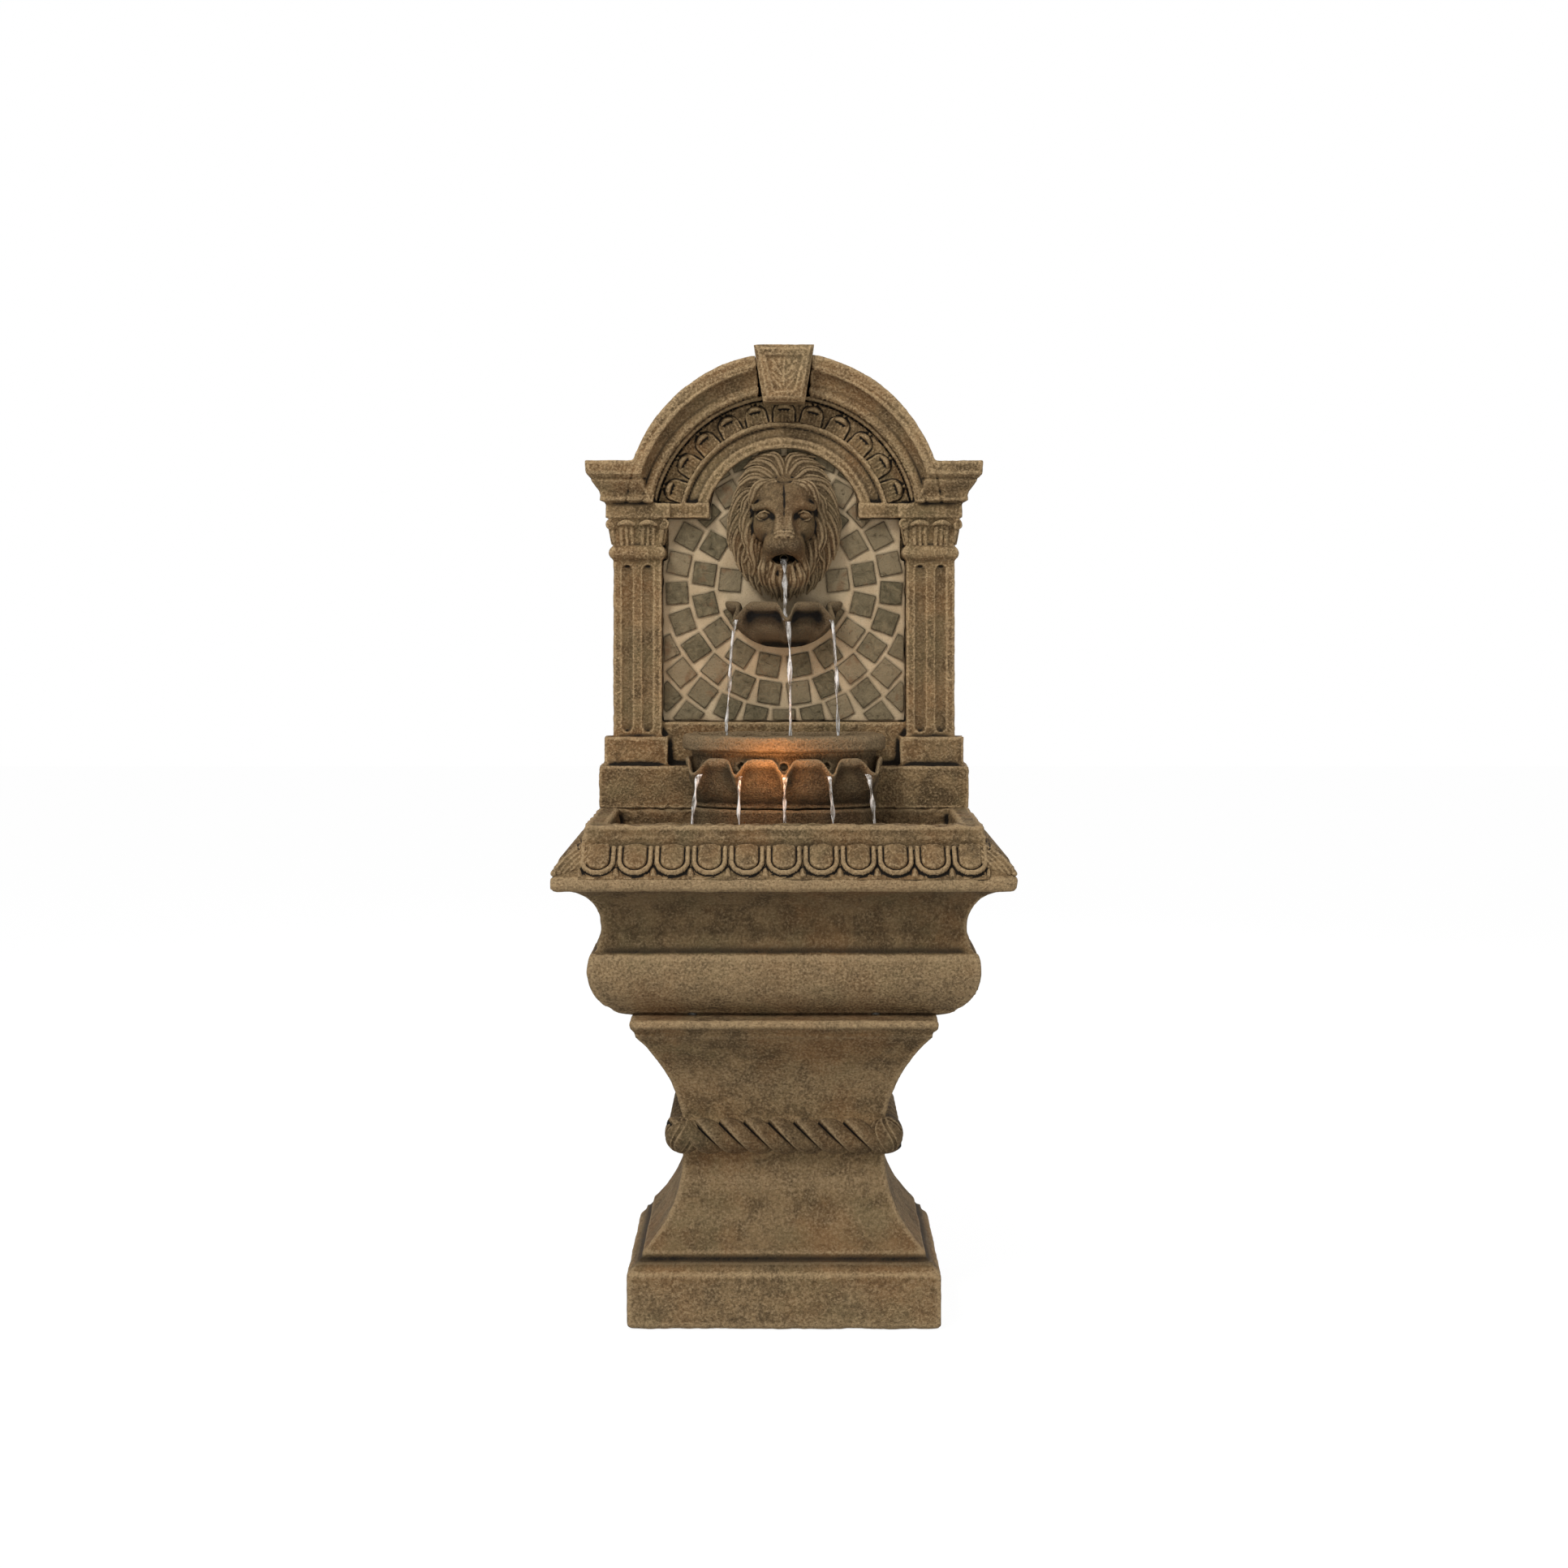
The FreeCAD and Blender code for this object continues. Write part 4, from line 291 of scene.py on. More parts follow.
def ripple(points, size, seed):    # smooth noise from -1 to 1, lumps about size across
    at = points / size
    cell = np.floor(at).astype(np.int64)
    part = at - cell
    part = part * part * part * (part * (part * 6 - 15) + 10)
    total = 0
    for corner in range(8):
        dx, dy, dz = corner & 1, corner >> 1 & 1, corner >> 2 & 1
        weight = ((part[:, 0] if dx else 1 - part[:, 0]) * (part[:, 1] if dy else 1 - part[:, 1])
                  * (part[:, 2] if dz else 1 - part[:, 2]))
        total = total + weight * hashed(cell[:, 0] + dx, cell[:, 1] + dy, cell[:, 2] + dz, seed)
    return total


def meshPiece(name, points, faces, material, keepIn=True):    # millimetres in, metres out
    points = np.asarray(points, float)
    if keepIn:
        points = np.clip(points, boxLow, boxHigh)
    mesh = bpy.data.meshes.new(name)
    mesh.vertices.add(len(points))
    mesh.vertices.foreach_set("co", (points * 0.001).ravel())
    faces = [np.asarray(f) for f in faces if len(f)]
    loops = np.concatenate([f.ravel() for f in faces])
    sizes = np.concatenate([np.full(len(f), f.shape[1]) for f in faces])
    mesh.loops.add(len(loops))
    mesh.loops.foreach_set("vertex_index", loops.astype(np.int32))
    mesh.polygons.add(len(sizes))
    mesh.polygons.foreach_set("loop_start", (np.cumsum(sizes) - sizes).astype(np.int32))
    mesh.polygons.foreach_set("use_smooth", np.full(len(sizes), True))
    mesh.update(calc_edges=True)
    mesh.validate()
    piece = bpy.data.objects.new(name, mesh)
    scene.collection.objects.link(piece)
    mesh.materials.append(material)
    return piece


def giveAttribute(piece, name, values):
    layer = piece.data.attributes.new(name, "FLOAT", "POINT")
    layer.data.foreach_set("value", np.asarray(values, np.float32))


def tube(n, m):    # numbers of the points of n closed rings, the same moved on by one, and the faces between
    grid = np.arange(n * m).reshape(n, m)
    after = np.roll(grid, -1, axis=1)
    return grid, after, np.stack([grid[:-1], grid[1:], after[1:], after[:-1]], -1).reshape(-1, 4)


def castFromField(field, name, material, roughness, limit=190000, dirtAndShade=(7.0, 3.2), deep=None, paintedLightBands=()):
    # meshes a field, roughens it and stores where it is hollow, for a dark wash with painted shade, and where
    # it is worn, for paler edges with painted highlights; the pairs for small and for large hollows (deep):
    # reach and depth
    points, triangles, quads = field.polygons()
    fine = softened(field.value, 1)
    broad = softened(field.value, max(2, round(dirtAndShade[0] / field.voxel)))
    shadeAndWash = np.clip(-field.sample(broad, points) / dirtAndShade[1], 0, 1.6)
    if deep:    # large hollows too, darker with painted shade
        broad = softened(field.value, round(deep[0] / field.voxel))
        shadeAndWash = np.maximum(shadeAndWash, np.clip(-field.sample(broad, points) / deep[1], 0, 1.2))
    wearAndHighlight = np.clip(field.sample(fine, points) / (0.28 * field.voxel), 0, 1.6)
    for low, high, amount in paintedLightBands:    # heights painted darker as shade, and paler as light where the amount is below zero
        share = within(points[:, 2], low, high, 4)
        shadeAndWash += max(amount, 0) * share
        wearAndHighlight += max(-amount, 0) * share
    step = field.voxel * 0.7
    normal = np.stack([field.sample(field.value, points + d) - field.sample(field.value, points - d)
                       for d in np.eye(3) * step], 1)
    normal /= np.linalg.norm(normal, axis=1)[:, None] + 1e-9
    points = points + normal * roughness(points, wearAndHighlight)[:, None]
    piece = meshPiece(name, points, [triangles[:, ::-1], quads[:, ::-1]], material)
    giveAttribute(piece, "shadeAndWash", shadeAndWash)
    giveAttribute(piece, "wearAndHighlight", wearAndHighlight)
    count = len(triangles) + 2 * len(quads)
    if count > limit:
        thin = piece.modifiers.new("thin", "DECIMATE")
        thin.ratio = limit / count
        plain(piece)
    print(name, "triangles", min(count, limit))
    return piece


def plain(piece):    # applies what modifiers a piece has
    bpy.context.view_layer.update()
    made = bpy.data.meshes.new_from_object(piece.evaluated_get(bpy.context.evaluated_depsgraph_get()))
    piece.modifiers.clear()
    piece.data = made
    return piece


# cast stone

stoneLook = {
    "pale": tone(192, 164, 124), "body": tone(138, 113, 79), "deep": tone(86, 69, 46),
    "shadeWashTone": tone(26, 20, 12), "pit": tone(60, 48, 31), "rust": tone(136, 98, 60), "moss": tone(102, 93, 64),
}


def stoneFinish(name, lift=1.0, shadeWashGain=1.0, wearHighlightGain=1.0, pale=0.5, wet=0.0, grainSize=1.0, bite=1.0):
    look = {key: tuple(c * lift for c in value) for key, value in stoneLook.items()}
    f = Finish(name, Specular_IOR_Level=0.2)
    broad = f.noise(9, 4, 0.6)
    patch = f.noise(30, 5, 0.7, warp=0.4)
    grain = f.noise(300 / grainSize, 3, 0.55, warp=0.3)    # the pebbled skin
    speck = f.noise(760 / grainSize, 2, 0.6)
    shadeAndWash, wearAndHighlight = f.attribute("shadeAndWash"), f.attribute("wearAndHighlight")
    colour = f.mix(f.step(patch, 0.36, 0.64), look["deep"], look["body"])
    colour = f.mix(f.step(broad, 0.44, 0.66) * 0.5, colour, look["rust"])
    colour = f.mix(f.step(f.noise(15, 3), 0.48, 0.7) * 0.45, colour, look["moss"])
    rubbedAndLit = f.step(grain, 0.47, 0.68) * (pale * bite) + f.step(speck, 0.5, 0.68) * (0.16 * bite)
    # worn edges and painted highlights made paler
    rubbedAndLit = rubbedAndLit + f.step(wearAndHighlight + (grain - 0.5) * 0.6, 0.15, 1.0) * (0.55 * wearHighlightGain)
    colour = f.mix(rubbedAndLit.clipped(), colour, look["pale"])
    pitted = f.step(grain, 0.48, 0.32) * 0.5 + f.step(speck, 0.4, 0.28) * 0.25
    colour = f.mix(pitted.clipped() * (0.85 * bite), colour, look["pit"])
    # painted shade: hollows darkened with the dark wash
    sunk = f.step(shadeAndWash + (patch - 0.5) * 0.35 + (grain - 0.5) * 0.3, 0.14, 0.9) * shadeWashGain
    colour = f.mix(sunk.clipped(), colour, look["shadeWashTone"])
    normal = f.bump(grain * 0.8 + speck * 0.2, 0.005, 1.0)
    rough = 0.9 - wet * 0.45 - grain * 0.12
    return f.feed(Base_Color=colour, Roughness=rough, Normal=normal)


def roughStone(small=0.35, large=0.5, seed=1, bands=()):
    def roughness(points, wearAndHighlight):
        amount = np.full(len(points), 1.0)
        for low, high, gain in bands:    # heights that were left coarser
            amount += within(points[:, 2], low, high, 2, gain)
        bumps = ripple(points, 9.0, seed) + 0.6 * ripple(points, 5.0, seed + 1)
        sway = ripple(points, 46.0, seed + 2)
        chips = -np.clip(wearAndHighlight - 0.35, 0, 1) * np.clip(ripple(points, 14.0, seed + 3), 0, 1) * 1.6
        return bumps * small * amount + sway * large + chips
    return roughness


pedestalStone = stoneFinish("castStonePedestal", 1.04, 1.1, 0.8, 0.36, bite=0.85)
# the rope's stone, darker all over as painted shade
shadedRopeStone = stoneFinish("castStoneRopeShaded", 0.68, 1.8, 1.3, 0.36, bite=0.85)
basinStone = stoneFinish("castStoneBasin", 0.97, 1.35, 0.9, 0.4, bite=0.88)
panelStone = stoneFinish("castStonePanel", 1.09, 1.45, 0.8, 0.48, bite=0.85)
bowlStone = stoneFinish("castStoneBowls", 0.56, 1.3, 1.2, 0.35, wet=0.4, grainSize=0.8)
basketStone = stoneFinish("castStoneBasket", 0.4, 1.6, 1.6, 0.3, wet=0.5, grainSize=0.7, bite=0.8)
maskStone = stoneFinish("castStoneMask", 0.8, 2.0, 1.6, 0.3, wet=0.6, grainSize=0.8, bite=0.8)


def nodeField(name, voxel, margin=8.0):
    low, high = (np.array(v) * 1000 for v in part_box(name))
    return Field(low - margin, high + margin, voxel).takeNode(name)


def dress(piece, *replaced, body="fountain", slot="cast_stone"):
    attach(piece, body)
    if replaced:
        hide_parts(*replaced)
    return piece


# carved units: a relief over a flat back, repeated by geometry nodes

class Growth:    # one geometry node tree being wired up
    def __init__(self, name):
        self.tree = bpy.data.node_groups.new(name, "GeometryNodeTree")
        self.tree.interface.new_socket("Geometry", in_out="OUTPUT", socket_type="NodeSocketGeometry")
        self.source = self.tree.nodes.new("NodeGroupInput")
        self.result = self.tree.nodes.new("NodeGroupOutput")
        self.settings = {}
        self.parts = []

    def size(self, name, value, kind="NodeSocketFloat"):
        socket = self.tree.interface.new_socket(name, in_out="INPUT", socket_type=kind)
        self.settings[socket.identifier] = value
        return Val(self.tree, self.source.outputs[name])

    def node(self, kind, settings=None, out=0, **links):
        return wire(self.tree, kind, settings, out, links)

    def vector(self, x, y, z):
        return self.node("ShaderNodeCombineXYZ", X=x, Y=y, Z=z)

    def index(self):
        return self.node("GeometryNodeInputIndex")

    def scatter(self, unit, count, position, turn):    # unit at count places, each from its index
        line = self.node("GeometryNodeMeshLine", {"mode": "OFFSET"}, Count=count)
        placed = self.node("GeometryNodeSetPosition", Geometry=line, Position=position)
        asMade = {"transform_space": "ORIGINAL"}
        shape = self.node("GeometryNodeObjectInfo", asMade, out="Geometry", Object=unit)
        facing = self.node("FunctionNodeEulerToRotation", Euler=turn)
        spread = self.node("GeometryNodeInstanceOnPoints", Points=placed, Instance=shape, Rotation=facing)
        self.parts.append(spread)

    def make(self, name, material):
        join = self.tree.nodes.new("GeometryNodeJoinGeometry")
        for part in self.parts:
            self.tree.links.new(part.socket, join.inputs[0])
        whole = self.node("GeometryNodeRealizeInstances", Geometry=Val(self.tree, join.outputs[0]))
        done = self.node("GeometryNodeSetMaterial", Geometry=whole, Material=material)
        self.tree.links.new(done.socket, self.result.inputs[0])
        piece = bpy.data.objects.new(name, bpy.data.meshes.new(name))
        scene.collection.objects.link(piece)
        grow = piece.modifiers.new("grow", "NODES")
        grow.node_group = self.tree
        for identifier, value in self.settings.items():
            grow[identifier] = value
        plain(piece)
        bpy.data.node_groups.remove(self.tree)
        print(name, "faces", len(piece.data.polygons))
        return piece


def reliefUnit(name, u, v, height, depth, place=None, dirtAndShade=1.6, rubAndHighlight=1.1, reach=2.2):
    # u and v run over the carving, height stands on it; place bends the flat relief to its path
    across, up = np.meshgrid(u, v, indexing="ij")
    around = softened(height, max(1, round(reach / (u[1] - u[0]))))
    shadeAndWash = np.clip((around - height) / dirtAndShade, 0, 1.5)
    wearAndHighlight = np.clip((height - around) / rubAndHighlight, 0, 1.5)
    top = np.stack([across, up, height], -1).reshape(-1, 3)
    n, m = len(u), len(v)
    grid = np.arange(n * m).reshape(n, m)
    quads = np.stack([grid[:-1, :-1], grid[1:, :-1], grid[1:, 1:], grid[:-1, 1:]], -1).reshape(-1, 4)
    foot = np.concatenate([top[grid[0]], top[grid[-1]]])
    foot[:, 2] = -depth
    left, right = n * m + np.arange(m), n * m + m + np.arange(m)
    sides = [np.stack([grid[0, :-1], grid[0, 1:], left[1:], left[:-1]], -1),
             np.stack([grid[-1, 1:], grid[-1, :-1], right[:-1], right[1:]], -1),
             np.stack([left[:-1], left[1:], right[1:], right[:-1]], -1)]
    ends = [np.concatenate([grid[::-1, 0], [left[0], right[0]]])[None],
            np.concatenate([grid[:, -1], [right[-1], left[-1]]])[None]]
    points = np.concatenate([top, foot])
    if place:
        points = place(points)
    piece = meshPiece(name, points, [quads, *sides, *ends], basinStone, keepIn=False)
    # painted shade with the dark wash in the hollows and on the back, painted highlights with wear on raised
    # parts
    giveAttribute(piece, "shadeAndWash", np.concatenate([shadeAndWash.ravel(), np.ones(2 * m)]))
    giveAttribute(piece, "wearAndHighlight", np.concatenate([wearAndHighlight.ravel(), np.zeros(2 * m)]))
    return piece


def discard(*units):
    for unit in units:
        bpy.data.objects.remove(unit)


def mirror(field):    # left for right
    field.value = field.value[::-1].copy()
    field.first[0] = -(field.first[0] + field.value.shape[0] - 1)
    field.axes[0] = -field.axes[0][::-1]


# pedestal

pedestalLow, pedestalHigh = (np.array(v) * 1000 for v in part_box("pedestal"))
pedestalPaintedLight = ((84, 206, 0.26), (2, 62, -0.3), (262, 372, -0.2), (77, 92, 0.4), (373, 378, 0.5),
                  (386, 391, 0.5))    # low, high, how much darker as painted shade; below zero, paler as painted light
rope = {"inset": 72.1, "count": 8, "radius": 15.6, "swell": 8.4, "lean": 21.0, "middle": 235.0, "low": 212.0,
        "high": 258.0, "lobe": 25.0, "lobeTall": 0.94, "lobeVoxel": 1.3, "groove": 2.0, "sideGap": 17.0}
joint = {"pedestal": 1.3, "basin": 1.6}    # grown by this much where they meet, so that no gap shows
rope["across"] = pedestalHigh[0] - rope["inset"]
rope["front"] = pedestalLow[1] + rope["inset"]
rope["pitch"] = 2 * rope["across"] / rope["count"]
rope["sidePitch"] = (pedestalHigh[1] - rope["front"] - rope["sideGap"]) / (rope["count"] - 1)


def makePedestal():
    field = nodeField("pedestal", 3.1)
    cut, x, y, _ = field.window((-210, -170, rope["low"]), (210, 170, rope["high"]))
    core = np.maximum(np.abs(x) - rope["across"] - 4, rope["front"] - 4 - y)
    field.trim(cut, core)    # the rope is laid on afterwards
    cut = field.window((-210, -170, pedestalHigh[2] - 8), (210, 170, pedestalHigh[2] + 8))[0]
    field.value[cut] -= joint["pedestal"]
    coarse = roughStone(0.3, 0.55, 3)
    piece = castFromField(field, "stone_pedestal", pedestalStone, coarse, paintedLightBands=pedestalPaintedLight)
    return dress(piece, "pedestal")


def ropeTwist(points):    # wraps a flat strand round the roll and leans it
    angle = points[:, 1]
    radius = rope["radius"] + points[:, 2]
    along = points[:, 0] - rope["lean"] * (0.8 * np.sin(angle * 0.9) + 0.2 * angle)
    return np.stack([along, radius * np.sin(angle), radius * np.cos(angle)], -1)


def cutOff(piece, back):    # trims a piece at the back plane and closes the cuts
    shape = bmesh.new()
    shape.from_mesh(piece.data)
    everything = shape.verts[:] + shape.edges[:] + shape.faces[:]
    bmesh.ops.bisect_plane(shape, geom=everything, plane_co=(0, back, 0), plane_no=(0, 1, 0),
                           clear_outer=True)
    bmesh.ops.holes_fill(shape, edges=[edge for edge in shape.edges if edge.is_boundary], sides=0)
    shape.to_mesh(piece.data)
    shape.free()


def makeRope():
    half = rope["pitch"] / 2
    u = np.linspace(-half, half, 29)
    v = np.radians(np.linspace(-98, 98, 41))
    side = u[:, None] / half + 0 * v
    swell = np.clip(1 - np.abs(side) ** 2.2, 0, 1) ** 0.66
    lip = 1.3 * np.exp(-((side + 0.78) / 0.09) ** 2)    # the fine raised line along each strand
    height = rope["swell"] * swell * (1 - 0.24 * side) + lip
    strand = reliefUnit("strand", u, v, height, 9.0, ropeTwist, dirtAndShade=1.9, rubAndHighlight=1.8, reach=5.5)
    grow = Growth("ropeMoulding")
    pitch = grow.size("Strand Pitch", rope["pitch"] * 0.001)
    sidePitch = grow.size("Side Pitch", rope["sidePitch"] * 0.001)
    count = grow.size("Strands In Front", rope["count"], "NodeSocketInt")
    sideCount = grow.size("Strands Each Side", rope["count"] - 1, "NodeSocketInt")
    level, across, front = rope["middle"] * 0.001, rope["across"] * 0.001, rope["front"] * 0.001
    along = (grow.index() - (rope["count"] - 1) / 2) * pitch
    grow.scatter(strand, count, grow.vector(along, front, level), (math.pi / 2, 0, 0))
    back = (grow.index() + 0.5) * sidePitch + (front + rope["sideGap"] * 0.001)
    for sign in (1, -1):
        turn = (math.pi / 2, 0, sign * math.pi / 2)
        grow.scatter(strand, sideCount, grow.vector(sign * across, back, level), turn)
    piece = grow.make("rope_moulding", shadedRopeStone)
    discard(strand)
    cutOff(piece, pedestalHigh[1] * 0.001)
    dress(piece)
    for sign, name in ((1, "rope_corner_right"), (-1, "rope_corner_left")):
        dress(ropeCorner(sign, name))


def ropeCorner(sign, name):    # a fat lobe where the strands meet
    size = rope["lobe"]
    middle = np.array((rope["across"] + 1, rope["front"] - 1, rope["middle"]))
    field = Field(middle - size - 10, middle + size + 10, rope["lobeVoxel"])
    field.ball(middle, (size, size, size * rope["lobeTall"]), 0)
    field.ball(middle + (2, 10, 4), (size * 0.9, size, size * 0.86), 5)
    for turn in (-0.5, 0.5, 1.5):    # twisted grooves round the lobe
        angle = np.linspace(-1.25, 1.25, 11)
        bearing = turn - angle * 0.5
        line = np.stack([np.cos(angle) * np.sin(bearing), -np.cos(angle) * np.cos(bearing),
                         rope["lobeTall"] * np.sin(angle)], -1)
        field.strand(middle + line * size, rope["groove"], 1.2, carve=True)
    if sign < 0:
        mirror(field)
    return castFromField(field, name, shadedRopeStone, roughStone(0.25, 0.2, 7))


# trough with its egg-and-dart band

eggs = {"pitch": 47.8, "frontCount": 11, "sideCount": 7, "sideStart": 52.0, "run": 40.0, "rise": 38.0,
        "halfWidth": boxHigh[0], "front": boxLow[1], "foot": 586.0, "top": 624.0,
        "dome": 15.3, "domeRise": 6.5, "collarIn": 15.9, "collarOut": 22.9, "collarRise": 4.6, "margin": 4.2,
        "length": 49.5, "domeFoot": 4.5, "collarFoot": 2.5, "ground": 2.0, "dartRise": 4.2, "dartHalf": 4.5}
rim = {"half": 260.5, "front": -158.5, "low": 617.5, "high": 638.0, "innerHalf": 232.0, "innerFront": -130.0,
       "inset": 20.0}
ledge = {"deep": 4.0, "half": 226, "front": -125}    # a crisp step above the belly


def makeBasin():
    field = nodeField("basin", 3.1)
    cut, x, y, z = field.window((-300, -198, 574), (300, 200, 624.5))
    length = math.hypot(eggs["run"], eggs["rise"])
    upOut, upIn = eggs["run"] / length, eggs["rise"] / length
    plane = (z - eggs["foot"]) * upOut
    front = plane - (y - eggs["front"]) * upIn
    sides = plane + (np.abs(x) - eggs["halfWidth"]) * upIn
    field.trim(cut, np.maximum(front, sides))    # the eggs are laid on afterwards
    cut, x, y, z = field.window((-270, -170, 610), (270, 170, 640))
    outer = np.maximum(np.abs(x) - rim["half"], rim["front"] - y)
    inner = np.maximum(np.abs(x) - rim["innerHalf"], rim["innerFront"] - y)
    band = np.maximum(np.maximum(outer, rim["low"] - z), np.maximum(z - rim["high"], rim["inset"] - inner))
    field.merge(cut, band)    # the rim's band hangs over them
    cut = field.window((-262, -200, pedestalHigh[2] - 9), (262, 200, pedestalHigh[2] + 6))[0]
    field.value[cut] -= joint["basin"]
    cut, x, y, z = field.window((-262, -200, 474), (262, 200, 514))
    outside = (np.abs(x) > ledge["half"]) | (y < ledge["front"])
    field.value[cut] += ledge["deep"] * outside * rise(z, 480, 483) * rise(-z, -510, -486)
    coarse = roughStone(0.35, 0.5, 11, bands=((624, 652, 3.6), (481, 512, 1.2)))
    # painted shade in the cove under the lip and on the rim's band; painted light on the lower belly and just
    # below the eggs
    paintedLightBands = ((484, 573, 0.2), (405, 479, -0.5), (574, 587, -0.6), (626, 652, 0.2))
    piece = castFromField(field, "stone_basin", basinStone, coarse, deep=(22.0, 7.0), paintedLightBands=paintedLightBands)
    dress(piece, "basin")
    field = nodeField("basin_back", 3.1)
    back = castFromField(field, "stone_basin_back", basinStone, roughStone(0.3, 0.4, 12))
    dress(back, "basin_back")


def makeEggs():
    half, length = eggs["pitch"] / 2, eggs["length"]
    u = np.linspace(-half, half, 61)
    v = np.linspace(0.0, length, 61)
    across, up = np.meshgrid(u, v, indexing="ij")
    bend = eggs["margin"] + eggs["collarOut"]
    away = np.hypot(across, np.minimum(up - bend, 0))
    dome = eggs["domeFoot"] + eggs["domeRise"] * np.clip(1 - (away / eggs["dome"]) ** 2, 0, 1) ** 0.55
    middle = (eggs["collarIn"] + eggs["collarOut"]) / 2
    reach = (eggs["collarOut"] - eggs["collarIn"]) / 2
    ring = np.clip(1 - np.abs((away - middle) / reach) ** 2.6, 0, 1) ** 0.5
    collar = np.where(ring > 0, eggs["collarFoot"] + eggs["collarRise"] * ring, 0)
    dome = np.where(away < eggs["dome"], dome, 0)
    gap = half - np.abs(across)
    dart = eggs["dartRise"] * np.clip(1 - gap / eggs["dartHalf"], 0, 1) ** 0.7
    dart = dart * rise(up, 1, 6) * rise(-up, -22, -12)
    ground = eggs["ground"] * (away < eggs["collarIn"])
    height = np.maximum(np.maximum(dome, collar), np.maximum(dart, ground))
    height += 0.35 * ripple(np.stack([across, up, height], -1).reshape(-1, 3), 5.0, 5).reshape(height.shape)
    egg = reliefUnit("egg", u, v, height, 3.0, dirtAndShade=1.5, rubAndHighlight=0.8)
    grow = Growth("eggAndDart")
    pitch = grow.size("Egg Pitch", eggs["pitch"] * 0.001)
    frontCount = grow.size("Eggs In Front", eggs["frontCount"], "NodeSocketInt")
    sideCount = grow.size("Eggs Each Side", eggs["sideCount"], "NodeSocketInt")
    lean = math.atan2(eggs["rise"], eggs["run"])
    foot, edge = eggs["foot"] * 0.001, eggs["front"] * 0.001
    along = (grow.index() - (eggs["frontCount"] - 1) / 2) * pitch
    grow.scatter(egg, frontCount, grow.vector(along, edge, foot), (lean, 0, 0))
    back = (eggs["front"] + eggs["sideStart"]) * 0.001 + grow.index() * pitch
    for sign in (1, -1):
        place = grow.vector(sign * eggs["halfWidth"] * 0.001, back, foot)
        grow.scatter(egg, sideCount, place, (lean, 0, sign * math.pi / 2))
    piece = grow.make("egg_and_dart", basinStone)
    discard(egg)
    keepInside(piece)
    dress(piece)
    for sign, name in ((-1, "corner_leaf_left"), (1, "corner_leaf_right")):
        dress(cornerLeaf(sign, name))


def keepInside(piece):
    points = np.empty(len(piece.data.vertices) * 3, np.float32)
    piece.data.vertices.foreach_get("co", points)
    points = np.clip(points.reshape(-1, 3), boxLow * 0.001, boxHigh * 0.001)
    piece.data.vertices.foreach_set("co", points.ravel())
    piece.data.update()


cornerLook = {"headIn": 42, "footIn": 6, "voxel": 1.2, "ribGap": 5.4, "rib": 3.9, "bulge": 3.4}


def cornerLeaf(sign, name):    # ribs that run down the corner and spread
    edge, front = eggs["halfWidth"], eggs["front"]
    head = np.array((edge - cornerLook["headIn"], front + cornerLook["headIn"], eggs["top"] + 1))
    foot = np.array((edge - cornerLook["footIn"], front + cornerLook["footIn"], eggs["foot"] + 5))
    field = Field(np.minimum(head, foot) - 32, np.maximum(head, foot) + 22, cornerLook["voxel"])
    side = np.array((1, 1, 0)) / math.sqrt(2)    # along the lip, away from the corner's edge
    bend = np.linspace(0, 1, 9)[:, None]
    for k in range(-4, 5):
        shift = k * cornerLook["ribGap"]
        spread = side * shift * (1.1 - 0.1 * bend) * (1 - 0.5 * bend ** 5)
        out = np.array((1, -1, 1)) * (cornerLook["bulge"] - 0.5 * abs(k)) * np.sin(bend * math.pi * 0.8)
        line = head + (foot - head) * bend * (1 - 0.03 * abs(k)) + spread + out
        line[:, :2] -= np.array((1, -1)) * (abs(shift) * 0.52)
        field.strand(line, cornerLook["rib"] - 0.2 * abs(k) - np.linspace(0.6, 0, 9), 0.6)
    if sign < 0:
        mirror(field)
    return castFromField(field, name, basinStone, roughStone(0.2, 0.2, 17))


makePedestal()
makeRope()
makeBasin()
makeEggs()


# back panel: arch leaves, capitals, keystone

panelLook = {"archCentre": 1042.3, "solidCentre": 1063.4, "archGrow": 7.0, "springing": 1077.0,
             "blendIn": 190.0, "blendOut": 240.0, "bandIn": 149.5, "bandOut": 180.5, "bandFace": 112.85,
             "fillet": 185.4, "filletHalf": 2.3, "filletFace": 103.5, "lineWide": 1.7,
             "lines": ((120.0, 1.1), (127.5, 1.1), (141.5, 2.0), (189.5, 2.2), (202.0, 1.3), (224.0, 1.6)),
             "corniceLines": ((1087.0, 1.3), (1110.0, 1.6)), "leafCount": 11, "leafStep": 14.2,
             "fluteX": (191.5, 220.5), "fluteLow": 757.0, "fluteHigh": 988.0, "fluteFace": 102.6,
             "pilaster": 206.0, "shaftFace": 99.85, "capitalTop": 1056.0}


